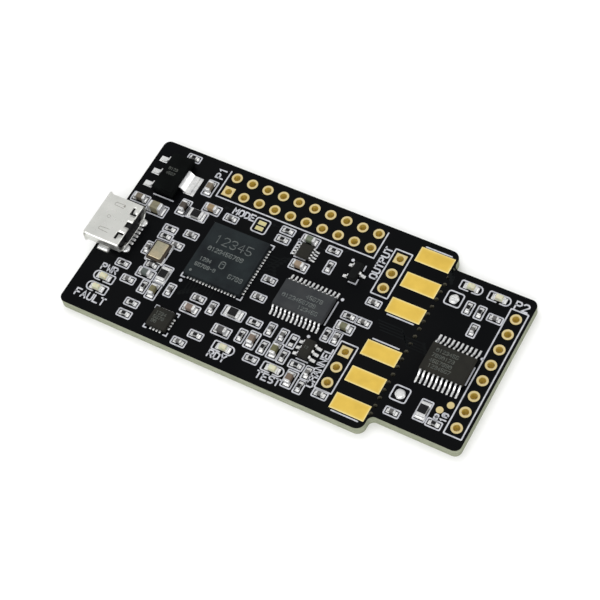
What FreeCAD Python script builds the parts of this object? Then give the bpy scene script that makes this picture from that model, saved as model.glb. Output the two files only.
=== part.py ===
"""Bare capture-and-trigger circuit board with a break-away target section, in millimetres.

X runs from the USB socket to the target section, Y towards the two-row header, Z up from the underside.
The origin is at the bottom, midway along the overall length and on the board's centre line.
"""

import FreeCAD, Part
import os
import Sketcher
from FreeCAD import Placement, Rotation, Vector

doc = FreeCAD.newDocument("CaptureBoard")
UP = Vector(0, 0, 1)


# ---------------------------------------------------------------- driving dimensions

SIZES = (
    # board outline
    ("main_length", 47.65),
    ("main_width", 29.75),
    ("target_length", 12.75),
    ("target_width", 24.6),
    ("target_root", 5.0),
    ("board_thickness", 1.6),
    ("copper_height", 0.05),
    ("corner_radius", 1.0),
    ("shoulder_radius", 1.25),
    ("neck_radius", 0.85),
    # row of perforation holes where the target section snaps off
    ("perforation_pitch", 1.27),
    ("perforation_radius", 0.3),
    # plated header holes
    ("header_pitch", 2.54),
    ("header_hole_radius", 0.5),
    ("header_pad_radius", 0.8),
    ("plating", 0.06),
    ("expansion_first_pin", 12.9),
    ("expansion_edge_gap", 1.75),
    ("target_header_edge_gap", 1.76),
    ("target_header_offset", -0.28),
    # two edge ports: three gold pads and a three-way header each
    ("port_spacing", 16.02),
    ("port_offset", 0.1),
    ("port_header_gap", 7.33),
    ("edge_pad_length", 5.15),
    ("edge_pad_width", 2.45),
    ("edge_pad_pitch", 4.4),
    ("edge_pad_gap", 0.35),
    # small gold features
    ("jumper_pad_length", 1.2),
    ("jumper_pad_width", 0.65),
    ("jumper_pad_pitch", 0.9),
    ("dome_radius", 0.65),
    ("dome_height", 0.28),
    ("dot_radius", 0.5),
    # micro-USB socket
    ("usb_overhang", 1.45),
    ("usb_offset", -1.42),
    ("usb_length", 5.75),
    ("usb_width", 7.45),
    ("usb_height", 2.55),
    ("usb_wall", 0.25),
    ("usb_lip", 0.45),
    ("usb_lip_flare", 25),
    ("usb_top_bevel", 0.4),
    ("usb_foot_bevel", 0.85),
    ("usb_slot_width", 1.4),
    ("usb_slot_length", 0.5),
    ("usb_slot_offset", 2.2),
    ("usb_slot_gap", 0.5),
    ("usb_notch_width", 3.2),
    ("usb_notch_depth", 0.6),
    ("usb_leg_width", 0.7),
    ("usb_leg_offset", 2.35),
    ("usb_leg_hole_radius", 0.48),
    ("usb_leg_solder_radius", 0.56),
    ("usb_leg_solder_height", 0.35),
    ("usb_ear_length", 1.7),
    ("usb_ear_reach", 0.4),
    ("usb_ear_distance", 2.9),
    ("usb_block_depth", 2.3),
    ("usb_tongue_length", 2.3),
    ("usb_tongue_width", 3.6),
    ("usb_tongue_thickness", 0.55),
    ("usb_contact_pitch", 0.65),
    ("usb_contact_width", 0.35),
    ("usb_contact_thickness", 0.13),
    ("usb_contact_tail", 0.65),
    ("usb_contact_tip_gap", 0.4),
    # chip packages
    ("pin_dot_radius", 0.25),
    ("pin_dot_depth", 0.06),
    ("mould_draft", 8),
    ("controller_side", 9.0),
    ("controller_height", 0.85),
    ("controller_pitch", 0.5),
    ("clock_side", 3.0),
    ("clock_height", 0.75),
    ("clock_pitch", 0.5),
    ("terminal_depth", 0.4),
    ("terminal_width", 0.24),
    ("terminal_height", 0.2),
    ("terminal_land_reach", 0.32),
    ("converter_length", 7.8),
    ("converter_width", 4.4),
    ("converter_height", 1.05),
    ("converter_span", 6.4),
    ("target_chip_length", 6.5),
    ("target_chip_width", 4.4),
    ("target_chip_height", 1.05),
    ("target_chip_span", 7.3),
    ("gate_length", 2.3),
    ("gate_width", 2.0),
    ("gate_height", 0.8),
    ("gate_span", 3.1),
    ("transistor_length", 2.9),
    ("transistor_width", 1.3),
    ("transistor_height", 1.0),
    ("transistor_span", 2.5),
    ("amplifier_length", 2.9),
    ("amplifier_width", 1.6),
    ("amplifier_height", 1.1),
    ("amplifier_span", 2.9),
    ("chip_standoff", 0.1),
    ("fine_pitch", 0.65),
    ("fine_lead_width", 0.24),
    ("gate_pitch", 0.5),
    ("gate_lead_width", 0.2),
    ("coarse_pitch", 0.95),
    ("coarse_lead_width", 0.4),
    ("lead_thickness", 0.15),
    ("lead_foot", 0.5),
    ("lead_shoulder", 0.12),
    ("land_overreach", 0.25),
    ("land_side_gap", 0.04),
    # voltage regulator
    ("regulator_length", 6.5),
    ("regulator_width", 3.5),
    ("regulator_height", 1.6),
    ("regulator_span", 7.0),
    ("regulator_pitch", 2.3),
    ("regulator_lead_width", 0.7),
    ("regulator_tab_width", 3.0),
    ("regulator_lead_thickness", 0.28),
    ("regulator_foot", 0.9),
    ("regulator_lead_shoulder", 0.3),
    ("regulator_land_margin", 0.12),
    # crystal
    ("crystal_length", 3.2),
    ("crystal_width", 2.5),
    ("crystal_base_height", 0.45),
    ("crystal_lid_height", 0.25),
    ("crystal_lid_inset", 0.18),
    ("crystal_corner", 0.3),
    ("crystal_land_length", 1.15),
    ("crystal_land_width", 0.85),
    ("crystal_land_reach", 0.08),
    # chip resistors and capacitors
    ("small_length", 1.0),
    ("small_width", 0.5),
    ("small_end", 0.22),
    ("small_resistor_height", 0.35),
    ("small_capacitor_height", 0.5),
    ("medium_length", 1.6),
    ("medium_width", 0.82),
    ("medium_end", 0.32),
    ("medium_height", 0.8),
    ("large_length", 2.05),
    ("large_width", 1.25),
    ("large_end", 0.42),
    ("large_resistor_height", 0.5),
    ("large_capacitor_height", 1.25),
    ("land_lip", 0.3),
    ("land_margin", 0.06),
    # light-emitting diodes
    ("led_length", 1.6),
    ("led_width", 0.8),
    ("led_end", 0.25),
    ("led_base_height", 0.28),
    ("led_lens_length", 1.1),
    ("led_lens_height", 0.42),
    ("led_lens_draft", 8),
)

EXPANSION_PINS = 10
TARGET_PINS = 8
PORT_PINS = 3
PERFORATIONS = 20
CONTROLLER_SIDE_PINS = 16
CLOCK_SIDE_PINS = 4
CONVERTER_SIDE_PINS = 12
TARGET_CHIP_SIDE_PINS = 10
GATE_SIDE_PINS = 4
AMPLIFIER_SIDE_PINS = 3
REGULATOR_PINS = 3
USB_CONTACTS = 5

# ---------------------------------------------------------------- where the parts sit
# On the main section: distance from the socket edge, distance from the centre line, which way it lies.

ALONG, ACROSS = 0, 90

SMALL_RESISTORS = (
    (5.40, 13.60, ALONG), (23.95, 6.70, ALONG), (23.95, 8.25, ALONG), (31.40, 8.05, ALONG),
    (32.05, 5.45, ACROSS), (8.50, 1.65, ALONG), (8.50, 0.30, ALONG), (9.95, -8.10, ACROSS),
    (5.30, -6.05, ALONG), (9.85, -11.05, ALONG), (9.80, -12.95, ALONG), (26.30, -9.15, ACROSS),
    (29.90, -9.45, ACROSS), (33.05, -9.55, ACROSS), (36.80, -4.10, ACROSS), (38.20, -0.35, ALONG),
    (35.30, -9.95, ALONG), (37.25, -12.60, ACROSS), (29.30, -11.70, ALONG), (20.60, -11.70, ALONG),
    (27.00, -6.60, ALONG),
)
SMALL_CAPACITORS = (
    (15.55, 6.75, ALONG), (40.25, 2.95, ALONG), (11.75, 2.00, ALONG), (10.70, -0.35, ALONG),
    (7.20, -2.35, ACROSS), (9.20, -4.65, ALONG), (7.35, -8.00, ALONG), (13.65, -7.05, ACROSS),
    (18.00, -6.55, ALONG), (20.50, -7.05, ACROSS), (29.50, -6.60, ACROSS), (31.45, -6.75, ACROSS),
    (38.20, -4.05, ACROSS), (40.40, -0.35, ALONG), (37.25, -10.35, ACROSS), (40.25, -12.45, ALONG),
    (25.50, 0.15, ALONG), (25.50, -2.85, ALONG), (19.00, -13.60, ALONG),
)
EMPTY_LANDS = ((33.10, -6.95, ACROSS),)
MEDIUM_CAPACITORS = (
    (10.15, 10.00, ACROSS), (1.80, 4.40, ALONG), (8.35, 5.60, ACROSS), (12.25, 7.00, ALONG),
    (27.60, 8.10, ALONG), (28.10, 3.85, ALONG), (9.15, -6.15, ALONG), (11.60, -8.15, ACROSS),
    (17.80, -8.45, ALONG), (23.50, -9.65, ALONG), (28.00, -9.10, ACROSS), (31.60, -9.20, ACROSS),
    (38.45, -2.15, ALONG), (35.50, -12.15, ACROSS),
)
LARGE_CAPACITOR = (4.95, 3.70, ALONG)
LARGE_RESISTORS = ((10.70, 5.25, ALONG), (11.60, -5.35, ACROSS), (23.65, -6.55, ALONG))
DIODES = ((4.05, -9.10, ALONG), (4.05, -11.00, ALONG), (25.10, -11.85, ALONG), (32.75, -11.80, ALONG))

CONTROLLER = (18.65, 0.45)
CLOCK_CHIP = (15.10, -11.70)
CONVERTER = (31.75, -1.10)
GATE_CHIP = (27.95, 6.10)
TRANSISTOR = (35.85, 6.05)
AMPLIFIER = (35.65, -7.45)
CRYSTAL = (9.10, -2.35)
REGULATOR = (4.60, 9.35)
JUMPER = (20.00, 7.45)

# On the target section: the first figure is the distance from the perforated line.

TARGET_SMALL_RESISTORS = ((4.55, 7.55, ACROSS), (6.25, 7.55, ACROSS), (8.05, -9.90, ALONG))
TARGET_SMALL_CAPACITORS = ((8.45, 7.50, ALONG), (6.55, 4.70, ACROSS), (2.40, -10.70, ALONG))
TARGET_LARGE_RESISTORS = ((5.95, -8.75, ACROSS),)
TARGET_DIODES = ((3.50, 10.60, ALONG), (7.65, 10.60, ALONG))
TARGET_CHIP = (6.00, -1.50)
TEST_POINTS = ((2.15, 8.05), (2.15, -7.85))
PROBE_DOTS = ((8.85, -6.55), (7.85, -7.75))


# ---------------------------------------------------------------- the sheet and its derived places

sheet = doc.addObject("Spreadsheet::Sheet", "Sizes")
for line, (alias, number) in enumerate(SIZES, 1):
    sheet.set(f"A{line}", alias)
    sheet.set(f"B{line}", str(number))
    sheet.setAlias(f"B{line}", alias)
doc.recompute()

ALIASES = sorted((alias for alias, number in SIZES), key=len, reverse=True)


def full(formula):
    """The formula with each alias written as a cell of the sheet."""
    words = []
    word = ""
    for letter in formula + " ":
        if letter.isalnum() or letter == "_":
            word += letter
            continue
        words.append(f"Sizes.{word}" if word in ALIASES else word)
        words.append(letter)
        word = ""
    return "".join(words).strip()


def value(formula):
    """What a formula of aliases comes to now."""
    return float(sheet.evalExpression(full(formula)))


def bind(target, **formulas):
    """Ties properties of an object to formulas of the sheet's aliases."""
    for name, formula in formulas.items():
        target.setExpression(name.replace("__", "."), full(formula))


LANDS = []

OVERALL = "(usb_overhang + main_length + target_length)"
SOCKET_EDGE = f"(usb_overhang - {OVERALL} / 2)"
BREAK_LINE = f"({SOCKET_EDGE} + main_length)"
FAR_EDGE = f"({BREAK_LINE} + target_length)"
BOARD_TOP = "board_thickness"
LAND_TOP = "(board_thickness + copper_height)"


def on_main(place):
    """Formulas for a place on the main section."""
    return f"{SOCKET_EDGE} + {place[0]}", str(place[1])


def on_target(place):
    """Formulas for a place on the target section."""
    return f"{BREAK_LINE} + {place[0]}", str(place[1])


# ---------------------------------------------------------------- building blocks


def box(name, length, width, height, x="0", y="0", z="0"):
    """A block centred on x and y that stands on z."""
    block = doc.addObject("Part::Box", name)
    bind(block, Length=length, Width=width, Height=height)
    bind(block, Placement__Base__x=f"{x} - ({length}) / 2", Placement__Base__y=f"{y} - ({width}) / 2")
    bind(block, Placement__Base__z=z)
    return block


def cylinder(name, radius, height, x="0", y="0", z="0"):
    """An upright cylinder that stands on z."""
    post = doc.addObject("Part::Cylinder", name)
    bind(post, Radius=radius, Height=height)
    bind(post, Placement__Base__x=x, Placement__Base__y=y, Placement__Base__z=z)
    return post


def fuse(name, *pieces):
    """One piece from several that touch or overlap."""
    whole = doc.addObject("Part::MultiFuse", name)
    whole.Shapes = list(pieces)
    return whole


def cut(name, piece, tool):
    """A piece with another's room taken out of it."""
    rest = doc.addObject("Part::Cut", name)
    rest.Base = piece
    rest.Tool = tool
    return rest


def copy_of(master, x, y, z, turn=0):
    """A linked copy of a master piece, turned about Z and set at x, y and z."""
    link = doc.addObject("App::Link", f"{master.Name}_copy")
    link.LinkedObject = master
    link.LinkTransform = True
    link.LinkPlacement = Placement(Vector(), Rotation(UP, turn))
    bind(link, LinkPlacement__Base__x=x, LinkPlacement__Base__y=y, LinkPlacement__Base__z=z)
    return link


def group(name, pieces):
    """Separate solids of one kind kept under one name."""
    kept = doc.addObject("Part::Compound", name)
    kept.Links = list(pieces)
    return kept


def new_body(name):
    body = doc.addObject("PartDesign::Body", name)
    body.AllowCompound = True
    return body


def new_sketch(body, name, role, z="0"):
    """A sketch on one of the body's own origin planes, raised along the plane's normal."""
    sketch = body.newObject("Sketcher::SketchObject", name)
    plane = next(item for item in body.Origin.OriginFeatures if item.Role == role)
    sketch.AttachmentSupport = (plane, [""])
    sketch.MapMode = "FlatFace"
    bind(sketch, AttachmentOffset__Base__z=z)
    return sketch


def pin_point(sketch, item, point, formulas, now):
    """Ties one point of a sketch's item to its distances from the sketch's origin."""
    for kind, formula, distance in (("DistanceX", formulas[0], now.x), ("DistanceY", formulas[1], now.y)):
        index = sketch.addConstraint(Sketcher.Constraint(kind, -1, 1, item, point, distance))
        sketch.setExpression(f"Constraints[{index}]", full(formula))


def outline(body, name, role, corners, z="0"):
    """A sketch of one closed outline whose corners follow pairs of formulas."""
    sketch = new_sketch(body, name, role, z)
    points = [Vector(value(across), value(up), 0) for across, up in corners]
    count = len(points)
    for i in range(count):
        sketch.addGeometry(Part.LineSegment(points[i], points[(i + 1) % count]), False)
    for i in range(count):
        sketch.addConstraint(Sketcher.Constraint("Coincident", i, 2, (i + 1) % count, 1))
    for i, corner in enumerate(corners):
        pin_point(sketch, i, 1, corner, points[i])
    return sketch


def rectangle(length, width, x="0", y="0"):
    """The corners of a rectangle centred on x and y."""
    left, right = f"{x} - ({length}) / 2", f"{x} + ({length}) / 2"
    low, high = f"{y} - ({width}) / 2", f"{y} + ({width}) / 2"
    return ((left, low), (right, low), (right, high), (left, high))


def circles(body, name, centres, radius, z="0"):
    """A sketch of equal circles, centres as pairs of formulas."""
    sketch = new_sketch(body, name, "XY_Plane", z)
    for i, (x, y) in enumerate(centres):
        centre = Vector(value(x), value(y), 0)
        sketch.addGeometry(Part.Circle(centre, UP, value(radius)), False)
        pin_point(sketch, i, 3, (x, y), centre)
        index = sketch.addConstraint(Sketcher.Constraint("Radius", i, value(radius)))
        sketch.setExpression(f"Constraints[{index}]", full(radius))
    return sketch


def pad(body, sketch, length, reverse=False, taper="0", both=False):
    """Raises a sketch into a solid; a negative taper narrows it as it rises."""
    raised = body.newObject("PartDesign::Pad", f"{sketch.Name}_pad")
    raised.Profile = sketch
    raised.Reversed = reverse
    if both:
        raised.SideType = "Symmetric"
    bind(raised, Length=length, TaperAngle=taper)
    body.Tip = raised
    return raised


def pocket(body, sketch, depth=None, reverse=False):
    """Cuts a sketch into the solid, right through it if no depth is given."""
    hollow = body.newObject("PartDesign::Pocket", f"{sketch.Name}_pocket")
    hollow.Profile = sketch
    hollow.Reversed = reverse
    if depth is None:
        hollow.Type = "ThroughAll"
    else:
        bind(hollow, Length=depth)
    body.Tip = hollow
    return hollow


def along_row(body, feature, sketch, axis, count, pitch):
    """Repeats a feature along its sketch's axis."""
    row = body.newObject("PartDesign::LinearPattern", f"{feature.Name}_row")
    row.Originals = [feature]
    row.Direction = (sketch, [axis])
    row.Occurrences = count
    bind(row, Length=f"{count - 1} * {pitch}")
    body.Tip = row
    return row


def upright_edges(shape, places):
    """Names of the upright edges that stand on the given x, y places."""
    near = 0.01
    names = []
    for i, edge in enumerate(shape.Edges, 1):
        first, last = edge.Vertexes[0].Point, edge.Vertexes[-1].Point
        if abs(first.x - last.x) > near or abs(first.y - last.y) > near:
            continue
        if any(abs(first.x - x) < near and abs(first.y - y) < near for x, y in places):
            names.append(f"Edge{i}")
    return names


def round_edges(body, base, places, radius):
    """Fillets the upright edges that stand on places given as pairs of formulas."""
    doc.recompute()
    fillet = body.newObject("PartDesign::Fillet", "Fillet")
    fillet.Base = (base, upright_edges(base.Shape, [(value(x), value(y)) for x, y in places]))
    bind(fillet, Radius=radius)
    body.Tip = fillet
    return fillet


def mirrored_places(x, y):
    """A place and its twin across the centre line."""
    return ((x, y), (x, f"-({y})"))


def around(count, pitch):
    """Offsets of a row of pins about its middle."""
    return [f"({i} - {count - 1} / 2) * {pitch}" for i in range(count)]


def land_for(name, inner, outer, width):
    """One land that runs from inner to outer along +X."""
    return box(name, f"{outer} - ({inner})", width, "copper_height", f"(({inner}) + ({outer})) / 2")


# ---------------------------------------------------------------- board


PORTS = (("upper", "port_offset + port_spacing / 2"), ("lower", "port_offset - port_spacing / 2"))
EXPANSION_ROW = "main_width / 2 - expansion_edge_gap"
EXPANSION_START = f"{SOCKET_EDGE} + expansion_first_pin"
TARGET_HEADER_X = f"{FAR_EDGE} - target_header_edge_gap"
PORT_HEADER_X = f"{BREAK_LINE} - port_header_gap"
USB_FRONT = f"({SOCKET_EDGE} - usb_overhang)"
USB_REAR = f"({USB_FRONT} + usb_length)"
DRILL_RADIUS = "header_hole_radius + plating"
SQUARE_SIDE = "(2 * header_pad_radius)"
SQUARE_PADS = (("expansion", EXPANSION_START, f"{EXPANSION_ROW} - header_pitch"),) + tuple(
    (side, PORT_HEADER_X, f"{centre} + header_pitch") for side, centre in PORTS
)


def circuit_board():
    """Laminate with round corners, a narrower target section and every drilled hole."""
    body = new_body("circuit_board")
    main = rectangle("main_length", "main_width", f"{SOCKET_EDGE} + main_length / 2")
    target = rectangle("target_length + target_root", "target_width",
                       f"{BREAK_LINE} + (target_length - target_root) / 2")
    pad(body, outline(body, "main_outline", "XY_Plane", main), "board_thickness")
    slab = pad(body, outline(body, "target_outline", "XY_Plane", target), "board_thickness")
    ends = mirrored_places(SOCKET_EDGE, "main_width / 2") + mirrored_places(FAR_EDGE, "target_width / 2")
    rounded = round_edges(body, slab, ends, "corner_radius")
    rounded = round_edges(body, rounded, mirrored_places(BREAK_LINE, "main_width / 2"), "shoulder_radius")
    round_edges(body, rounded, mirrored_places(BREAK_LINE, "target_width / 2"), "neck_radius")

    rows = ((EXPANSION_START, EXPANSION_ROW), (EXPANSION_START, f"{EXPANSION_ROW} - header_pitch"))
    header_row(body, "expansion", rows, "H_Axis", EXPANSION_PINS)
    start = f"target_header_offset - {TARGET_PINS - 1} * header_pitch / 2"
    header_row(body, "target", ((TARGET_HEADER_X, start),), "V_Axis", TARGET_PINS)
    starts = tuple((PORT_HEADER_X, f"{centre} - header_pitch") for side, centre in PORTS)
    header_row(body, "port", starts, "V_Axis", PORT_PINS)
    for name, x, y in SQUARE_PADS:
        seat = outline(body, f"{name}_square_seat", "XY_Plane", rectangle(*[SQUARE_SIDE] * 2, x, y))
        pocket(body, seat, "copper_height", reverse=True)

    start = f"-{PERFORATIONS - 1} * perforation_pitch / 2"
    holes = circles(body, "perforation", ((BREAK_LINE, start),), "perforation_radius")
    along_row(body, pocket(body, holes, reverse=True), holes, "V_Axis", PERFORATIONS, "perforation_pitch")
    legs = tuple((USB_REAR, f"usb_offset + {side} * usb_leg_offset") for side in (-1, 1))
    pocket(body, circles(body, "leg_hole", legs, "usb_leg_hole_radius"), reverse=True)
    return body


def header_row(body, name, centres, axis, count):
    """Header holes right through the board, each with a shallow seat underneath for its lower pad."""
    for part, radius, depth in (("seat", "header_pad_radius", "copper_height"), ("hole", DRILL_RADIUS, None)):
        sketch = circles(body, f"{name}_{part}", centres, radius)
        along_row(body, pocket(body, sketch, depth, reverse=True), sketch, axis, count, "header_pitch")


def barrel(name, square):
    """One plated hole: a tube through the board with a pad on top and one flush with the underside."""
    tube = cylinder(f"{name}_tube", DRILL_RADIUS, "board_thickness")
    pads = []
    for face, z in (("under", "0"), ("over", BOARD_TOP)):
        if square:
            pads.append(box(f"{name}_{face}", SQUARE_SIDE, SQUARE_SIDE, "copper_height", z=z))
        else:
            pads.append(cylinder(f"{name}_{face}", "header_pad_radius", "copper_height", z=z))
    bore = cylinder(f"{name}_bore", "header_hole_radius", LAND_TOP)
    return cut(name, fuse(f"{name}_outside", tube, *pads), bore)


def header_barrels():
    """The plated holes of the four headers; the first of three of them has a square pad."""
    first, other = barrel("square_barrel", True), barrel("round_barrel", False)
    expansion = []
    for row in range(2):
        for i in range(EXPANSION_PINS):
            master = first if i == 0 and row == 1 else other
            x, y = f"{EXPANSION_START} + {i} * header_pitch", f"{EXPANSION_ROW} - {row} * header_pitch"
            expansion.append(copy_of(master, x, y, "0"))
    target = [
        copy_of(other, TARGET_HEADER_X, f"target_header_offset + {offset}", "0")
        for offset in around(TARGET_PINS, "header_pitch")
    ]
    nodes = [group("expansion_header_barrels", expansion), group("target_header_barrels", target)]
    for side, centre in PORTS:
        holes = []
        for i in range(PORT_PINS):
            y = f"{centre} + {1 - i} * header_pitch"
            holes.append(copy_of(first if i == 0 else other, PORT_HEADER_X, y, "0"))
        nodes.append(group(f"{side}_port_barrels", holes))
    return nodes


def gold_features():
    """Bare gold pads: edge ports, solder jumper and probe dots, and the domes on the test points."""
    edge_pad = box("edge_pad", "edge_pad_length", "edge_pad_width", "copper_height")
    pads = []
    for side, centre in PORTS:
        for i in (-1, 0, 1):
            x = f"{BREAK_LINE} - edge_pad_gap - edge_pad_length / 2"
            pads.append(copy_of(edge_pad, x, f"{centre} + {i} * edge_pad_pitch", BOARD_TOP))
    jumper_pad = box("jumper_pad", "jumper_pad_length", "jumper_pad_width", "copper_height")
    x, y = on_main(JUMPER)
    jumper = [copy_of(jumper_pad, x, f"{y} + {side} * jumper_pad_pitch / 2", BOARD_TOP) for side in (-1, 1)]
    dome = doc.addObject("Part::Sphere", "dome")
    ball = "((dome_radius * dome_radius + dome_height * dome_height) / (2 * dome_height))"
    bind(dome, Radius=ball, Angle1=f"asin(({ball} - dome_height) / {ball})")
    bind(dome, Placement__Base__z=f"dome_height - {ball}")
    domes = [copy_of(dome, *on_target(place), BOARD_TOP) for place in TEST_POINTS]
    dot = cylinder("dot", "dot_radius", "copper_height")
    dots = [copy_of(dot, *on_target(place), BOARD_TOP) for place in PROBE_DOTS]
    return [
        group("edge_connector_pads", pads),
        group("jumper_pads", jumper),
        group("test_point_domes", domes),
        group("probe_dots", dots),
    ]


# ---------------------------------------------------------------- micro-USB socket
# Built with its front lip at x = 0, its centre line on y = 0 and standing on z = 0.


def usb_socket():
    """Shell, insulator, contacts and leg solder."""
    shell = usb_shell()
    contacts = usb_contacts()
    insulator = cut("insulator_body", usb_insulator(), contacts)
    solder = group("leg_solder", usb_solder_heaps())
    place = (USB_FRONT, "usb_offset", BOARD_TOP)
    tail_land = land_for("tail_land", "usb_length - usb_contact_thickness", "usb_length + usb_contact_tail",
                         "usb_contact_width + land_side_gap")
    for offset in around(USB_CONTACTS, "usb_contact_pitch"):
        LANDS.append(copy_of(tail_land, USB_FRONT, f"usb_offset + {offset}", BOARD_TOP))
    return [
        group("usb_shell", [copy_of(shell, *place)]),
        group("usb_insulator", [copy_of(insulator, *place)]),
        group("usb_contacts", [copy_of(contacts, *place)]),
        group("usb_leg_solder", [copy_of(solder, *place)]),
    ]


def usb_shell():
    """Folded steel tube with a flared mouth, latch slots, mounting ears and two legs through the board."""
    body = new_body("shell_body")
    half, low, high = "usb_width / 2", "(usb_width / 2 - usb_foot_bevel)", "(usb_width / 2 - usb_top_bevel)"
    side = (("half", "usb_foot_bevel"), ("half", "usb_height - usb_top_bevel"), ("high", "usb_height"))
    names = {"half": half, "high": high}
    right = [(low, "0")] + [(names[key], up) for key, up in side]
    left = [(f"-{across}", up) for across, up in reversed(right)]
    profile = outline(body, "shell_profile", "YZ_Plane", tuple(right + left), "usb_lip")
    pad(body, profile, "usb_length - usb_lip")
    mouth = pad(body, profile, "usb_lip", reverse=True, taper="usb_lip_flare")
    doc.recompute()
    ends = [f"Face{i}" for i, face in enumerate(mouth.Shape.Faces, 1) if abs(face.normalAt(0, 0).x) > 0.999]
    wall = body.newObject("PartDesign::Thickness", "shell_wall")
    wall.Base = (mouth, ends)
    wall.Reversed = True
    bind(wall, Value="usb_wall")
    body.Tip = wall
    slot_x = "usb_length - usb_slot_gap - usb_slot_length / 2"
    for name, side in (("near_slot", -1), ("far_slot", 1)):
        hole = rectangle("usb_slot_length", "usb_slot_width", slot_x, f"{side} * usb_slot_offset")
        pocket(body, outline(body, name, "XY_Plane", hole, "usb_height"), "2 * usb_wall")
    notch = rectangle("usb_notch_depth", "usb_notch_width", "usb_length - usb_notch_depth / 2")
    pocket(body, outline(body, "tail_notch", "XY_Plane", notch), "usb_wall", reverse=True)
    legs = [
        box(f"{name}_leg", "usb_wall", "usb_leg_width", "usb_height + board_thickness",
            "usb_length - usb_wall / 2", f"{side} * usb_leg_offset", "-board_thickness")
        for name, side in (("near", -1), ("far", 1))
    ]
    ears = [
        box(f"{name}_ear", "usb_ear_length", "usb_foot_bevel + usb_ear_reach", "usb_wall",
            "usb_ear_distance", f"{side} * (usb_width / 2 + (usb_ear_reach - usb_foot_bevel) / 2)")
        for name, side in (("near", -1), ("far", 1))
    ]
    return fuse("shell_whole", body, *legs, *ears)


def usb_contacts():
    """Five contacts, each bent from the tongue down through the insulator to its tail on the board."""
    body = new_body("contact")
    rear = "(usb_length - usb_contact_thickness)"
    blade = "(usb_height / 2 - usb_tongue_thickness / 2)"
    tip = "(usb_length - usb_block_depth - usb_tongue_length + usb_contact_tip_gap)"
    thick = "usb_contact_thickness"
    corners = (
        (tip, f"{blade} - {thick}"), (f"{rear} - {thick}", f"{blade} - {thick}"), (f"{rear} - {thick}", "0"),
        (f"{rear} + usb_contact_tail", "0"), (f"{rear} + usb_contact_tail", thick),
        (rear, thick), (rear, blade), (tip, blade),
    )
    pad(body, outline(body, "contact_profile", "XZ_Plane", corners), "usb_contact_width", both=True)
    offsets = around(USB_CONTACTS, "usb_contact_pitch")
    return group("contacts", [copy_of(body, "0", offset, "copper_height") for offset in offsets])


def usb_insulator():
    """Black block that fills the back of the shell, with the tongue in front of it."""
    inside = "(usb_width - 2 * usb_wall)"
    low = "(usb_width - 2 * usb_foot_bevel)"
    step = "(usb_foot_bevel + usb_wall)"
    depth = "usb_block_depth - usb_wall - usb_contact_thickness"
    centre = f"usb_length - usb_wall - usb_contact_thickness - ({depth}) / 2"
    lower = box("block_foot", depth, f"{low} - 2 * usb_wall", step, centre, z="usb_wall")
    upper = box("block_head", depth, f"{inside} - 2 * usb_top_bevel", f"usb_height - usb_wall - {step}",
                centre, z=step)
    middle = "(usb_height - usb_tongue_thickness) / 2"
    tongue = box("tongue", "usb_tongue_length", "usb_tongue_width", "usb_tongue_thickness",
                 "usb_length - usb_block_depth - usb_tongue_length / 2", z=middle)
    rear = box("block_rear", "usb_contact_thickness + usb_wall", "usb_notch_width",
               "usb_height - 2 * usb_wall", "usb_length - usb_wall / 2 - usb_contact_thickness / 2",
               z="usb_wall")
    return fuse("insulator_block", lower, upper, rear, tongue)


def usb_solder_heaps():
    """Half-round heaps of solder behind the two rear legs."""
    heaps = []
    for name, side in (("near", -1), ("far", 1)):
        heap = doc.addObject("Part::Cone", f"{name}_heap")
        heap.Angle = 180
        heap.Placement = Placement(Vector(), Rotation(UP, -90))
        bind(heap, Radius1="usb_leg_solder_radius", Radius2="usb_leg_width / 2")
        bind(heap, Height="usb_leg_solder_height")
        bind(heap, Placement__Base__x="usb_length", Placement__Base__y=f"{side} * usb_leg_offset")
        heaps.append(heap)
    return heaps


# ---------------------------------------------------------------- chip packages
# Each is built about its own centre, standing on z = 0, and copied onto its lands.


def moulded_body(name, length, width, height, base, draft):
    """A moulded package: drafted both ways from its parting line, with a dimple at its first pin."""
    body = new_body(name)
    middle = f"({base} + (({height}) - ({base})) / 2)"
    sketch = outline(body, "parting_line", "XY_Plane", rectangle(length, width), middle)
    pad(body, sketch, f"{height} - {middle}", taper=f"-{draft}")
    pad(body, sketch, f"{middle} - {base}", reverse=True, taper=f"-{draft}")
    dot = circles(body, "pin_dot", ((f"3 * pin_dot_radius - ({length}) / 2",
                                     f"3 * pin_dot_radius - ({width}) / 2"),), "pin_dot_radius", height)
    pocket(body, dot, "pin_dot_depth")
    return body


def flat_body(name, side, height):
    """A leadless package: its rim overhangs the foot by the depth of the terminals."""
    body = new_body(name)
    rim = outline(body, "rim", "XY_Plane", rectangle(side, side), "terminal_height")
    pad(body, rim, f"{height} - terminal_height")
    inner = f"{side} - 2 * terminal_depth"
    foot = outline(body, "foot", "XY_Plane", rectangle(inner, inner), "terminal_height")
    pad(body, foot, "terminal_height", reverse=True)
    corner = f"3 * pin_dot_radius - ({side}) / 2"
    pocket(body, circles(body, "pin_dot", ((corner, corner),), "pin_dot_radius", height), "pin_dot_depth")
    return body


def gull_lead(name, width, half_body, half_span, exit_height, thick="lead_thickness", foot="lead_foot",
              shoulder="lead_shoulder"):
    """One bent lead that leaves the package towards +X at its parting line and ends in a flat foot."""
    body = new_body(name)
    bend, heel = f"({half_body} + {shoulder})", f"({half_span} - {foot})"
    low, high = f"({exit_height} - {thick} / 2)", f"({exit_height} + {thick} / 2)"
    corners = (
        (half_body, low), (bend, low), (heel, "0"), (half_span, "0"), (half_span, thick),
        (f"{heel} + {thick}", thick), (f"{bend} + {thick}", high), (half_body, high),
    )
    pad(body, outline(body, "lead_profile", "XZ_Plane", corners), width, both=True)
    return body


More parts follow.
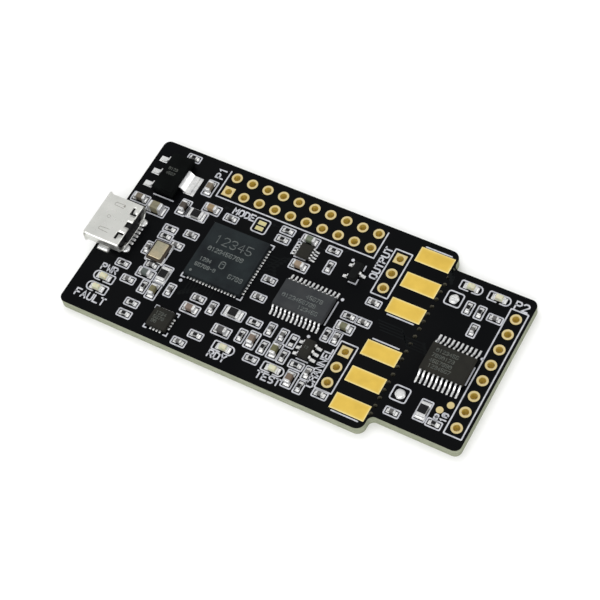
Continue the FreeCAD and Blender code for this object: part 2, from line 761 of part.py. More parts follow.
def row_copies(master, centre, z, offsets, turns):
    """Copies of a piece that faces +X, in a row across each side given by its turn."""
    x, y = centre
    copies = []
    for turn in turns:
        for offset in offsets:
            if turn in (0, 180):
                copies.append(copy_of(master, x, f"{y} + {offset}", z, turn))
            else:
                copies.append(copy_of(master, f"{x} + {offset}", y, z, turn))
    return copies


def leadless_chip(name, side, height, pitch, count, place):
    """Body and terminals of a square leadless chip, and its lands."""
    centre = on_main(place)
    body = group(f"{name}_body", [copy_of(flat_body(f"{name}_package", side, height), *centre, LAND_TOP)])
    edge = f"{side} / 2"
    terminal = box(f"{name}_terminal", "terminal_depth", "terminal_width", "terminal_height",
                   f"{edge} - terminal_depth / 2")
    turns = (0, 90, 180, 270)
    pins = row_copies(terminal, centre, LAND_TOP, around(count, pitch), turns)
    land = land_for(f"{name}_land", f"{edge} - terminal_depth", f"{edge} + terminal_land_reach",
                    "terminal_width + land_side_gap")
    LANDS.extend(row_copies(land, centre, BOARD_TOP, around(count, pitch), turns))
    return [body, group(f"{name}_terminals", pins)]


def leaded_chip(name, length, width, height, span, pitch, lead_width, rows, centre, turn=0):
    """Body and bent leads of a moulded chip, and its lands; rows lists (turn, pin count) of each side."""
    package = moulded_body(f"{name}_package", length, width, height, "chip_standoff", "mould_draft")
    body = group(f"{name}_body", [copy_of(package, *centre, LAND_TOP, turn)])
    exit_height = f"((chip_standoff + {height}) / 2)"
    lead = gull_lead(f"{name}_lead", lead_width, f"{width} / 2", f"{span} / 2", exit_height)
    land = land_for(f"{name}_land", f"{span} / 2 - lead_foot - land_overreach / 2",
                    f"{span} / 2 + land_overreach", f"{lead_width} + land_side_gap")
    leads = []
    for side, count in rows:
        step = pitch if count > 1 else "0"
        leads += row_copies(lead, centre, LAND_TOP, around(count, step), (side,))
        LANDS.extend(row_copies(land, centre, BOARD_TOP, around(count, step), (side,)))
    return [body, group(f"{name}_leads", leads)]


def two_rows(first, count):
    """Equal rows of pins on a side, given by its turn, and on the side opposite."""
    return ((first, count), (first + 180, count))


def chips():
    """Every packaged chip on the board."""
    nodes = leadless_chip("controller", "controller_side", "controller_height", "controller_pitch",
                          CONTROLLER_SIDE_PINS, CONTROLLER)
    nodes += leadless_chip("clock_chip", "clock_side", "clock_height", "clock_pitch", CLOCK_SIDE_PINS,
                           CLOCK_CHIP)
    nodes += leaded_chip("converter", "converter_length", "converter_width", "converter_height",
                         "converter_span", "fine_pitch", "fine_lead_width",
                         two_rows(90, CONVERTER_SIDE_PINS), on_main(CONVERTER), 180)
    nodes += leaded_chip("target_chip", "target_chip_length", "target_chip_width", "target_chip_height",
                         "target_chip_span", "fine_pitch", "fine_lead_width",
                         two_rows(90, TARGET_CHIP_SIDE_PINS), on_target(TARGET_CHIP), 180)
    nodes += leaded_chip("gate_chip", "gate_length", "gate_width", "gate_height", "gate_span", "gate_pitch",
                         "gate_lead_width", two_rows(0, GATE_SIDE_PINS), on_main(GATE_CHIP), -90)
    nodes += leaded_chip("transistor", "transistor_length", "transistor_width", "transistor_height",
                         "transistor_span", "2 * coarse_pitch", "coarse_lead_width",
                         ((180, 2), (0, 1)), on_main(TRANSISTOR), -90)
    nodes += leaded_chip("amplifier", "amplifier_length", "amplifier_width", "amplifier_height",
                         "amplifier_span", "coarse_pitch", "coarse_lead_width",
                         two_rows(0, AMPLIFIER_SIDE_PINS), on_main(AMPLIFIER), -90)
    return nodes


def regulator():
    """Voltage regulator: moulded body, three leads towards the socket and a wide tab opposite."""
    centre = on_main(REGULATOR)
    package = moulded_body("regulator_package", "regulator_length", "regulator_width", "regulator_height",
                           "chip_standoff", "mould_draft")
    body = group("regulator_body", [copy_of(package, *centre, LAND_TOP, -90)])
    exit_height = "((chip_standoff + regulator_height) / 2)"
    bends = ("regulator_width / 2", "regulator_span / 2", exit_height, "regulator_lead_thickness",
             "regulator_foot", "regulator_lead_shoulder")
    lead = gull_lead("regulator_lead", "regulator_lead_width", *bends)
    tab = gull_lead("regulator_wide_lead", "regulator_tab_width", *bends)
    offsets = around(REGULATOR_PINS, "regulator_pitch")
    leads = row_copies(lead, centre, LAND_TOP, offsets, (180,))
    inner = "regulator_span / 2 - regulator_foot - land_overreach"
    outer = "regulator_span / 2 + land_overreach"
    land = land_for("regulator_land", inner, outer, "regulator_lead_width + 2 * regulator_land_margin")
    LANDS.extend(row_copies(land, centre, BOARD_TOP, offsets, (180,)))
    wide = land_for("regulator_tab_land", inner, f"{outer} + land_overreach",
                    "regulator_tab_width + 2 * regulator_land_margin")
    LANDS.append(copy_of(wide, *centre, BOARD_TOP))
    return [body, group("regulator_leads", leads), group("regulator_tab", [copy_of(tab, *centre, LAND_TOP)])]


def crystal():
    """Crystal: ceramic base with a metal lid on it, long side across the board."""
    nodes = []
    place = on_main(CRYSTAL)
    for name, inset, height, z in (
        ("crystal_base", "0", "crystal_base_height", LAND_TOP),
        ("crystal_lid", "crystal_lid_inset", "crystal_lid_height", f"{LAND_TOP} + crystal_base_height"),
    ):
        body = new_body(f"{name}_shape")
        across, along = f"(crystal_width - 2 * {inset})", f"(crystal_length - 2 * {inset})"
        raised = pad(body, outline(body, "plan", "XY_Plane", rectangle(across, along)), height)
        corners = mirrored_places(f"{across} / 2", f"{along} / 2")
        corners += mirrored_places(f"-{across} / 2", f"{along} / 2")
        round_edges(body, raised, corners, "crystal_corner")
        nodes.append(group(name, [copy_of(body, *place, z)]))
    land = box("crystal_land", "crystal_land_width", "crystal_land_length", "copper_height")
    for side in (-1, 1):
        for end in (-1, 1):
            x = f"{place[0]} + {side} * ((crystal_width - crystal_land_width) / 2 + crystal_land_reach)"
            y = f"{place[1]} + {end} * ((crystal_length - crystal_land_length) / 2 + crystal_land_reach)"
            LANDS.append(copy_of(land, x, y, BOARD_TOP))
    return nodes


# ---------------------------------------------------------------- resistors, capacitors and diodes


def chip_parts(name, size, height, places):
    """Bodies and metal ends of equal chip parts, with a land under each end."""
    length, width, end = f"{size}_length", f"{size}_width", f"{size}_end"
    middle = box(f"{name}_middle", f"{length} - 2 * {end}", width, height)
    cap = box(f"{name}_cap", end, width, height, f"({length} - {end}) / 2")
    bodies, ends = [], []
    for x, y, turn in places:
        bodies.append(copy_of(middle, x, y, LAND_TOP, turn))
        ends += [copy_of(cap, x, y, LAND_TOP, turn + half) for half in (0, 180)]
    add_lands(size, length, width, end, places)
    return bodies, ends


def add_lands(name, length, width, end, places):
    """A pair of lands at each place, reaching past the ends of the part."""
    land = land_for(f"{name}_land", f"{length} / 2 - {end}", f"{length} / 2 + land_lip",
                    f"{width} + 2 * land_margin")
    for x, y, turn in places:
        LANDS.extend(copy_of(land, x, y, BOARD_TOP, turn + half) for half in (0, 180))


def spots(main, target=()):
    """Formulas and turns of the parts on both sections."""
    on_both = [(on_main, place) for place in main] + [(on_target, place) for place in target]
    return [(*section(place), place[2]) for section, place in on_both]


def resistors_and_capacitors():
    """Chip parts in three sizes."""
    kinds = (
        ("small_resistor", "small", "small_resistor_height", spots(SMALL_RESISTORS, TARGET_SMALL_RESISTORS)),
        ("small_capacitor", "small", "small_capacitor_height",
         spots(SMALL_CAPACITORS, TARGET_SMALL_CAPACITORS)),
        ("medium_capacitor", "medium", "medium_height", spots(MEDIUM_CAPACITORS)),
        ("large_capacitor", "large", "large_capacitor_height", spots((LARGE_CAPACITOR,))),
        ("large_resistor", "large", "large_resistor_height", spots(LARGE_RESISTORS, TARGET_LARGE_RESISTORS)),
    )
    nodes = []
    for name, size, height, places in kinds:
        bodies, ends = chip_parts(name, size, height, places)
        nodes += [group(f"{name}_bodies", bodies), group(f"{name}_ends", ends)]
    add_lands("empty", "small_length", "small_width", "small_end", spots(EMPTY_LANDS))
    return nodes


def diodes():
    """Light-emitting diodes: a thin base between two metal ends, with a drafted lens on top."""
    places = spots(DIODES, TARGET_DIODES)
    base = box("diode_base", "led_length - 2 * led_end", "led_width", "led_base_height")
    cap = box("diode_cap", "led_end", "led_width", "led_base_height", "(led_length - led_end) / 2")
    lens = new_body("diode_lens")
    corners = rectangle("led_lens_length", "led_width")
    plan = outline(lens, "lens_plan", "XY_Plane", corners, "led_base_height")
    pad(lens, plan, "led_lens_height", taper="-led_lens_draft")
    bases, ends, lenses = [], [], []
    for x, y, turn in places:
        bases.append(copy_of(base, x, y, LAND_TOP, turn))
        lenses.append(copy_of(lens, x, y, LAND_TOP, turn))
        ends += [copy_of(cap, x, y, LAND_TOP, turn + half) for half in (0, 180)]
    add_lands("diode", "led_length", "led_width", "led_end", places)
    return [group("led_bases", bases), group("led_lenses", lenses), group("led_ends", ends)]


# ---------------------------------------------------------------- the whole board

nodes = [circuit_board()]
nodes += header_barrels()
nodes += gold_features()
nodes += usb_socket()
nodes += chips()
nodes += regulator()
nodes += crystal()
nodes += resistors_and_capacitors()
nodes += diodes()
nodes.append(group("solder_lands", LANDS))
doc.recompute()

faulty = [item.Label for item in doc.Objects if "Invalid" in item.State or "Error" in item.State]
if faulty:
    raise SystemExit(f"failed objects: {faulty}")
for node in nodes:
    if node.Shape.isNull() or not node.Shape.isValid() or not node.Shape.Solids:
        raise SystemExit(f"bad shape: {node.Label}")

os.makedirs("parts", exist_ok=True)
for node in nodes:
    node.Shape.exportStep(f"parts/{node.Label}.step")
    print(node.Label, len(node.Shape.Solids), "solids")
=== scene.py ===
"""Looks of a bare, populated measuring board: black mask, white print, gold pads and soldered parts."""

import math

import bpy
import numpy as np
from mathutils import Matrix, Vector


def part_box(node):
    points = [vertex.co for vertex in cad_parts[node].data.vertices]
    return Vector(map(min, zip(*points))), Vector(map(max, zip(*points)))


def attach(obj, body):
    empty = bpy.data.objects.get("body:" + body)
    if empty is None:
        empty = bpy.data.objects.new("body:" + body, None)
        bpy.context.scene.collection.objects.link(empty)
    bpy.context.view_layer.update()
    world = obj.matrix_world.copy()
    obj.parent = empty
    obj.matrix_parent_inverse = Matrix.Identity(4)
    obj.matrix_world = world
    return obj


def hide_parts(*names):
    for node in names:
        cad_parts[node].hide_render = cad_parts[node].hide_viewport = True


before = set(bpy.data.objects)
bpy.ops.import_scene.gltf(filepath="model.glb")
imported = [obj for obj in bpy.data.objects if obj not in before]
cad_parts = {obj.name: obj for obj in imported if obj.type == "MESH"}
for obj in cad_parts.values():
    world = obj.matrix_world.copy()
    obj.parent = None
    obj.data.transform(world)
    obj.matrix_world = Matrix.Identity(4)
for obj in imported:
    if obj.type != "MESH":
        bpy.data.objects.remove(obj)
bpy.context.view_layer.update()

MM = 0.001

# ---- measuring the CAD solids


def edges(node):
    """A CAD node's lowest and highest corner in millimetres, as the two rows of an array."""
    return np.array(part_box(node)) / MM


BOARD_TOP = edges("circuit_board")[1, 2]
SOCKET_EDGE = edges("circuit_board")[0, 0]
LAND_TOP = edges("solder_lands")[1, 2]
PADS_TO_HOLES = 0.35
BREAK_LINE = edges("edge_connector_pads")[1, 0] + PADS_TO_HOLES


def solids(node):
    """Boxes of a CAD node's separate solids in millimetres, as (n, low and high, xyz).

    Corners at one place count as one point; each face gives its points the least label among them,
    again and again, until nothing changes, so that every solid ends with one label."""
    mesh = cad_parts[node].data
    corners = np.empty(len(mesh.vertices) * 3)
    mesh.vertices.foreach_get("co", corners)
    faces = np.empty(len(mesh.loops), int)
    mesh.loops.foreach_get("vertex_index", faces)
    places, which = np.unique(np.round(corners.reshape(-1, 3), 7), axis=0, return_inverse=True)
    faces = which.reshape(-1)[faces].reshape(-1, 3)
    label = np.arange(len(places))
    settled = False
    while not settled:
        spread = label.copy()
        np.minimum.at(spread, faces.ravel(), np.repeat(label[faces].min(1), 3))
        spread = spread[spread]
        settled = bool((spread == label).all())
        label = spread
    found = [places[label == one] for one in np.unique(label)]
    return np.array([(part.min(0), part.max(0)) for part in found]) / MM


def middles(boxes):
    """Centre of each box."""
    return boxes.mean(1)


def chip_axes(bodies, ends):
    """Unit vectors along chip parts, from each body's centre to the nearest of its soldered ends."""
    gap = middles(ends)[None, :, :2] - middles(bodies)[:, None, :2]
    nearest = np.argmin((gap ** 2).sum(2), 1)
    along = np.abs(gap[np.arange(len(bodies)), nearest])
    return np.round(along / along.max(1, keepdims=True))


# ---- surfaces


def facing_out(points, faces):
    """The faces, turned round if the volume under them, a sum of triple products, comes out negative."""
    fan = [(face[0], face[k], face[k + 1]) for face in faces for k in range(1, len(face) - 1)]
    a, b, c = points[np.array(fan)].transpose(1, 0, 2)
    a0 = points.mean(0)
    volume = np.einsum("ij,ij->i", a - a0, np.cross(b - a0, c - a0)).sum()
    return faces if volume >= 0 else [list(reversed(face)) for face in faces]


def together(surfaces):
    """Many surfaces as one: their points in a row, and each one's faces counted on from there."""
    points, faces, start = [], [], 0
    for some_points, some_faces in surfaces:
        points.append(some_points)
        faces += [[corner + start for corner in face] for face in some_faces]
        start += len(some_points)
    return np.vstack(points), faces


def tube_faces(count, rows, ring, closed_ends=True):
    """Faces of count tubes in one grid, each of rows rings of ring points, with flat ends."""
    row, spot = np.meshgrid(np.arange(rows - 1), np.arange(ring), indexing="ij")
    following = (spot + 1) % ring
    quads = np.stack([row * ring + spot, row * ring + following,
                      (row + 1) * ring + following, (row + 1) * ring + spot], -1).reshape(-1, 4)
    starts = np.arange(count) * rows * ring
    faces = (quads[None] + starts[:, None, None]).reshape(-1, 4).tolist()
    if closed_ends:
        near = np.arange(ring)[::-1]
        far = np.arange(ring) + (rows - 1) * ring
        faces += (near[None] + starts[:, None]).tolist() + (far[None] + starts[:, None]).tolist()
    return faces


def rounded_ring(steps):
    """Corner signs and unit arc directions of a rounded rectangle, steps points to a corner."""
    turn = np.linspace(0, math.pi / 2, steps)[None] + np.arange(4)[:, None] * math.pi / 2
    signs = np.array([(1, 1), (-1, 1), (-1, -1), (1, -1)])
    return np.repeat(signs, steps, 0), np.stack([np.cos(turn), np.sin(turn)], -1).reshape(-1, 2)


def stacks(boxes, profile, corner, steps=3):
    """Solids like moulded or reflowed blocks: rounded rectangles stacked up a profile.

    profile gives (inset, height) pairs in millimetres, from each box's low side. A ring is the box's
    outline drawn in by the inset, and its corner radius shrinks by the same amount."""
    profile = np.array(profile, float)
    signs, arc = rounded_ring(steps)
    half = (boxes[:, 1, :2] - boxes[:, 0, :2])[:, None, None] / 2
    centre = middles(boxes)[:, None, None, :2]
    inset = profile[None, :, 0, None, None]
    radius = np.maximum(corner - inset, corner * 0.25)
    flat = centre + signs * (half - inset - radius) + arc * radius
    high = (boxes[:, 0, 2][:, None] + profile[None, :, 1])[..., None, None]
    high = np.broadcast_to(high, flat.shape[:3] + (1,))
    points = np.concatenate([flat, high], -1).reshape(-1, 3)
    faces = tube_faces(len(boxes), len(profile), len(signs))
    return points, facing_out(points, faces)


def shoulder(height, edge, foot=0.0, steps=4):
    """A stack's profile: straight up from foot, then a quarter circle of radius edge over the top."""
    turn = np.linspace(0, math.pi / 2, steps)
    top = np.stack([edge * (1 - np.cos(turn)), height - edge * (1 - np.sin(turn))], 1)
    return np.vstack([[(foot, 0.0)], top])


def extrusions(starts, outward, widths, outline, draw_in):
    """Closed outlines in the plane of (outward, up), carried across each part's width.

    starts (n, 3), outward (n, 2), widths (n), outline (n, p, 2) and draw_in (s, 3): the place across
    in half widths, and how far the outline is drawn in there along and down."""
    across = np.stack([-outward[:, 1], outward[:, 0]], 1)
    along = outline[:, None, :, 0] * (1 - draw_in[None, :, 1, None])
    up = outline[:, None, :, 1] * (1 - draw_in[None, :, 2, None])
    side = draw_in[None, :, 0, None] * widths[:, None, None] / 2
    flat = (starts[:, None, None, :2] + along[..., None] * outward[:, None, None]
            + np.broadcast_to(side, along.shape)[..., None] * across[:, None, None])
    points = np.concatenate([flat, (starts[:, None, None, 2] + up)[..., None]], -1).reshape(-1, 3)
    faces = tube_faces(len(starts), len(draw_in), outline.shape[1])
    return points, facing_out(points, faces)


def strip(path, width, low, thick, closed=False):
    """A printed line: four corners at each point of its path, half the width to either side on the mitre.

    An open line has a rounded end, two narrower sections within half a width of it."""
    path = np.array(path, float)
    half = np.full(len(path), width / 2)
    if not closed:
        first = (path[0] - path[1]) / np.linalg.norm(path[0] - path[1])
        last = (path[-1] - path[-2]) / np.linalg.norm(path[-1] - path[-2])
        reach = np.array([0.5, 0.35, 0.18])[:, None] * width
        path = np.vstack([path[0] + first * reach, path, path[-1] + last * reach[::-1]])
        ends = np.array([0.12, 0.36, 0.47]) * width
        half = np.concatenate([ends, half, ends[::-1]])
    ahead = np.roll(path, -1, 0) - path
    behind = path - np.roll(path, 1, 0)
    if not closed:
        ahead[-1], behind[0] = behind[-1], ahead[0]
    ahead /= np.linalg.norm(ahead, axis=1, keepdims=True)
    behind /= np.linalg.norm(behind, axis=1, keepdims=True)
    left = np.stack([-(ahead + behind)[:, 1], (ahead + behind)[:, 0]], 1)
    left /= np.maximum(np.linalg.norm(left, axis=1, keepdims=True), 1e-9)
    square = np.abs((left * np.stack([-ahead[:, 1], ahead[:, 0]], 1)).sum(1))
    offset = left * (half / np.clip(square, 0.6, 1))[:, None]
    right_side, left_side = path - offset, path + offset
    heights = np.full((len(path), 1), low)
    points = np.stack([np.hstack([right_side, heights]), np.hstack([right_side, heights + thick]),
                       np.hstack([left_side, heights + thick]), np.hstack([left_side, heights])], 1)
    points = points.reshape(-1, 3)
    faces = tube_faces(1, len(path), 4, closed_ends=not closed)
    if closed:
        start = (len(path) - 1) * 4
        faces += [[start + k, start + (k + 1) % 4, (k + 1) % 4, k] for k in range(4)]
    return points, facing_out(points, faces)


def disc(centre, radius, low, thick, sides=20):
    """A low round button: a ring at the foot, one at the rim and one a little in from it on top."""
    turn = np.linspace(0, 2 * math.pi, sides, endpoint=False)
    spread = np.array([1.0, 1.0, 0.9])[:, None] * radius
    rise = np.array([0.0, 0.8, 1.0])[:, None] * thick + np.zeros(sides)
    points = np.stack([centre[0] + spread * np.cos(turn), centre[1] + spread * np.sin(turn), low + rise], -1)
    points = points.reshape(-1, 3)
    return points, facing_out(points, tube_faces(1, 3, sides))


def domes(centres, radii, base, height, wobble, sides=28, rows=9):
    """Solder drops: height falls as the square root of 1 - r^2, and the edge wanders with the angle."""
    turn = np.linspace(0, 2 * math.pi, sides, endpoint=False)[None, None]
    share = np.cos(np.linspace(0, math.pi / 2, rows, endpoint=False))[None, :, None]
    phase = np.arange(len(centres))[:, None, None] * 1.7
    edge = 1 - wobble * (0.5 + 0.3 * np.sin(2 * turn + phase) + 0.2 * np.sin(5 * turn + 2 * phase))
    reach = radii[:, None, None] * edge * share
    lean = 1 + 0.12 * share * np.cos(turn - phase)
    rise = base + height * np.sqrt(1 - share ** 2) * lean * np.ones_like(reach)
    points = np.stack([centres[:, None, None, 0] + reach * np.cos(turn),
                       centres[:, None, None, 1] + reach * np.sin(turn), rise], -1).reshape(-1, 3)
    return points, facing_out(points, tube_faces(len(centres), rows, sides))


SHARP_ANGLE = math.radians(40)


def piece(name, surface, material, smooth=True, tint=None, stands_for=()):
    """A new piece in metres, riding on the board, with one material."""
    points, faces = surface
    mesh = bpy.data.meshes.new(name)
    mesh.from_pydata((points * MM).tolist(), [], faces)
    mesh.validate()
    if tint is not None:
        colours = np.hstack([tint, np.ones((len(tint), 1))]).astype(np.float32)
        mesh.attributes.new("tint", "FLOAT_COLOR", "POINT").data.foreach_set("color", colours.ravel())
    if smooth:
        mesh.shade_smooth()
        mesh.set_sharp_from_angle(angle=SHARP_ANGLE)
    else:
        mesh.shade_flat()
    mesh.materials.append(material)
    made = bpy.data.objects.new(name, mesh)
    bpy.context.scene.collection.objects.link(made)
    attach(made, "root")
    if stands_for:
        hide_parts(*stands_for)
    return made


# ---- shader building


def put(tree, kind, inputs=None, **settings):
    """One shader node, its settings, and its inputs as plain values or links."""
    node = tree.nodes.new("ShaderNode" + kind)
    for name, value in settings.items():
        setattr(node, name, value)
    for name, value in (inputs or {}).items():
        if isinstance(value, bpy.types.NodeSocket):
            tree.links.new(value, node.inputs[name])
        else:
            node.inputs[name].default_value = value
    return node


def maths(tree, operation, *values, clamp=False):
    """The result of one Math node; each value is a number or a link."""
    return put(tree, "Math", dict(enumerate(values)), operation=operation, use_clamp=clamp).outputs[0]


def mixed(tree, mask, first, second, **settings):
    """Two colours mixed by a mask."""
    return put(tree, "Mix", {0: mask, 6: first, 7: second}, data_type="RGBA", **settings).outputs[2]


def new_group(name, takes, gives):
    """An empty shader node group with its sockets, and its two end nodes."""
    tree = bpy.data.node_groups.new(name, "ShaderNodeTree")
    for label, kind, value in takes:
        socket = tree.interface.new_socket(name=label, in_out="INPUT", socket_type=kind)
        socket.default_value = value
    for label, kind in gives:
        tree.interface.new_socket(name=label, in_out="OUTPUT", socket_type=kind)
    return tree, tree.nodes.new("NodeGroupInput"), tree.nodes.new("NodeGroupOutput")


def grain_group():
    """Fine unevenness: two sizes of noise on Object coordinates, as a value and as a bumped normal."""
    tree, takes, gives = new_group(
        "surface_grain",
        (("Scale", "NodeSocketFloat", 1000.0), ("Depth", "NodeSocketFloat", 0.00002)),
        (("Value", "NodeSocketFloat"), ("Normal", "NodeSocketVector")))
    place = put(tree, "TexCoord").outputs["Object"]
    coarse = put(tree, "TexNoise", {"Vector": place, "Scale": takes.outputs["Scale"], "Detail": 3.0})
    finer_scale = maths(tree, "MULTIPLY", takes.outputs["Scale"], 5.3)
    fine = put(tree, "TexNoise", {"Vector": place, "Scale": finer_scale, "Detail": 2.0})
    grain = maths(tree, "MULTIPLY_ADD", fine.outputs[0], 0.3, coarse.outputs[0])
    bump = put(tree, "Bump", {"Distance": takes.outputs["Depth"], "Height": grain, "Strength": 1.0})
    tree.links.new(grain, gives.inputs["Value"])
    tree.links.new(bump.outputs[0], gives.inputs["Normal"])
    return tree


def patches_group():
    """Slow changes of tone: soft noise on Object coordinates mixes two colours."""
    tree, takes, gives = new_group(
        "tone_patches",
        (("Scale", "NodeSocketFloat", 200.0), ("First", "NodeSocketColor", (0, 0, 0, 1)),
         ("Second", "NodeSocketColor", (1, 1, 1, 1)), ("Sharpness", "NodeSocketFloat", 2.0)),
        (("Colour", "NodeSocketColor"),))
    place = put(tree, "TexCoord").outputs["Object"]
    noise = put(tree, "TexNoise", {"Vector": place, "Scale": takes.outputs["Scale"], "Detail": 4.0})
    centred = maths(tree, "SUBTRACT", noise.outputs[0], 0.5)
    mask = maths(tree, "MULTIPLY_ADD", centred, takes.outputs["Sharpness"], 0.5, clamp=True)
    blend = mixed(tree, mask, takes.outputs["First"], takes.outputs["Second"])
    tree.links.new(blend, gives.inputs["Colour"])
    return tree


def specks_group():
    """Dust and pits: the middles of voronoi cells, kept where a second noise is high."""
    tree, takes, gives = new_group(
        "dust_specks",
        (("Scale", "NodeSocketFloat", 3000.0), ("Size", "NodeSocketFloat", 0.12)),
        (("Mask", "NodeSocketFloat"),))
    place = put(tree, "TexCoord").outputs["Object"]
    cells = put(tree, "TexVoronoi", {"Vector": place, "Scale": takes.outputs["Scale"]})
    inside = maths(tree, "LESS_THAN", cells.outputs["Distance"], takes.outputs["Size"])
    some = put(tree, "TexNoise", {"Vector": place, "Scale": 700.0})
    often = maths(tree, "GREATER_THAN", some.outputs[0], 0.56)
    tree.links.new(maths(tree, "MULTIPLY", inside, often), gives.inputs["Mask"])
    return tree


GRAIN, PATCHES, SPECKS = grain_group(), patches_group(), specks_group()


def rgb(*display):
    """A display colour, 0 to 255, as the linear colour that shaders take."""
    linear = [((part / 255 + 0.055) / 1.055) ** 2.4 if part > 10 else part / 255 / 12.92 for part in display]
    return (*linear, 1.0)


def finish(name, first, second, patch=200.0, sharpness=2.0, rough=(0.3, 0.5), grain=(2000.0, 1e-5),
           tinted=False, specks=None, **shader):
    """A finish: two tones in patches, roughness that follows the grain, a fine bump, and dust if asked."""
    material = bpy.data.materials.new(name)
    material.use_nodes = True
    tree = material.node_tree
    surface = tree.nodes["Principled BSDF"]
    tones = {"Scale": patch, "Sharpness": sharpness, "First": first, "Second": second}
    colour = put(tree, "Group", tones, node_tree=PATCHES).outputs["Colour"]
    if tinted:
        own = put(tree, "Attribute", attribute_name="tint").outputs["Color"]
        colour = mixed(tree, 1.0, own, colour, blend_type="MULTIPLY")
    if specks:
        often, size, tone = specks
        dust = put(tree, "Group", {"Scale": often, "Size": size}, node_tree=SPECKS).outputs["Mask"]
        colour = mixed(tree, dust, colour, tone)
    tree.links.new(colour, surface.inputs["Base Color"])
    fine = put(tree, "Group", {"Scale": grain[0], "Depth": grain[1]}, node_tree=GRAIN)
    spread = put(tree, "MapRange", {"Value": fine.outputs["Value"], "From Min": 0.35, "From Max": 0.95,
                                    "To Min": rough[0], "To Max": rough[1]})
    tree.links.new(spread.outputs[0], surface.inputs["Roughness"])
    tree.links.new(fine.outputs["Normal"], surface.inputs["Normal"])
    for socket, value in shader.items():
        surface.inputs[socket.replace("_", " ")].default_value = value
    return material


def covered(tree, mask, tone):
    """Puts a tone over a finish's own colour where the mask is one."""
    base = tree.nodes["Principled BSDF"].inputs["Base Color"]
    tree.links.new(mixed(tree, mask, base.links[0].from_socket, tone), base)


HOLE_BAND, HOLE_REACH = 0.6, 12.0
MASK_BELOW = 0.5


def board_finish():
    """Mask on the faces that look up or down, bare laminate on the sides and in the drilled holes.

    The sides show the glass cloth as thin level layers: noise squeezed along the height. Inside the band of
    the perforation, half as wide and half as long as the two hole values say, the laminate is darker:
    painted shade in the drilled holes."""
    material = finish("black_mask_and_laminate", rgb(3, 4, 6), rgb(8, 9, 10), 90.0, 2.5, (0.3, 0.44),
                      (900.0, 6e-6), specks=(2600.0, 0.05, rgb(34, 34, 34)), Specular_IOR_Level=0.05)
    tree = material.node_tree
    where = put(tree, "TexCoord")
    flat = put(tree, "SeparateXYZ", {0: where.outputs["Normal"]}).outputs["Z"]
    side = maths(tree, "LESS_THAN", maths(tree, "ABSOLUTE", flat), MASK_BELOW)
    squeezed = put(tree, "Mapping", {"Vector": where.outputs["Object"], "Scale": (1.0, 1.0, 14.0)})
    cloth = put(tree, "TexNoise", {"Vector": squeezed.outputs[0], "Scale": 900.0, "Detail": 3.0})
    layers = put(tree, "MapRange", {"Value": cloth.outputs[0], "From Min": 0.3, "From Max": 0.7}).outputs[0]
    beside = put(tree, "SeparateXYZ", {0: where.outputs["Object"]})
    along = maths(tree, "COMPARE", beside.outputs["X"], BREAK_LINE * MM, HOLE_BAND * MM)
    inner = maths(tree, "COMPARE", beside.outputs["Y"], 0.0, HOLE_REACH * MM)
    resin = mixed(tree, layers, rgb(126, 132, 111), rgb(166, 169, 149))
    # painted shade: a darker laminate tone on the walls of the perforation holes
    resin = mixed(tree, maths(tree, "MULTIPLY", along, inner), resin, rgb(108, 105, 92))
    covered(tree, side, resin)
    own_rough = tree.nodes["Principled BSDF"].inputs["Roughness"]
    rough = put(tree, "Mix", {0: side, 2: own_rough.links[0].from_socket, 3: 0.72})
    tree.links.new(rough.outputs[0], own_rough)
    return material


def barrel_finish():
    """Pale gold on the rings' faces, and down the bores a brighter, yellower gold that is painted light,
    lifting the bores out of their shade; the normal's height picks.
    """
    material = finish("barrel_gold", rgb(206, 188, 134), rgb(217, 199, 148), 500.0, 2.0, (0.3, 0.45),
                      (1800.0, 8e-6), Metallic=0.6)
    tree = material.node_tree
    flat = put(tree, "SeparateXYZ", {0: put(tree, "TexCoord").outputs["Normal"]}).outputs["Z"]
    # painted light: the bore walls get a brighter gold than the rings' faces, standing in for light in the
    # bores
    covered(tree, maths(tree, "LESS_THAN", flat, MASK_BELOW), rgb(231, 209, 112))
    return material


def mould(name, first, second, patch=420.0, rough=(0.5, 0.68), grain=(7000.0, 1.6e-5), gloss=0.14):
    """Matte black compound with a fine, slightly uneven grain."""
    return finish(name, first, second, patch, 2.5, rough, grain, Specular_IOR_Level=gloss)


BOARD_FINISH = board_finish()
RING_GOLD = barrel_finish()
PAD_GOLD = finish("plated_pad_gold", (0.86, 0.84, 0.8, 1), (1.0, 1.0, 1.0, 1), 420.0, 2.5, (0.28, 0.42),
                  (1500.0, 8e-6), tinted=True, Metallic=0.8)
TIN = finish("bright_solder", rgb(196, 197, 198), rgb(228, 228, 226), 900.0, 2.5, (0.2, 0.38),
             (2500.0, 2e-5), Metallic=0.6)
STEEL = finish("shell_steel", rgb(206, 207, 202), rgb(222, 222, 217), 420.0, 2.0, (0.24, 0.36),
               (1200.0, 5e-6), Metallic=0.85)
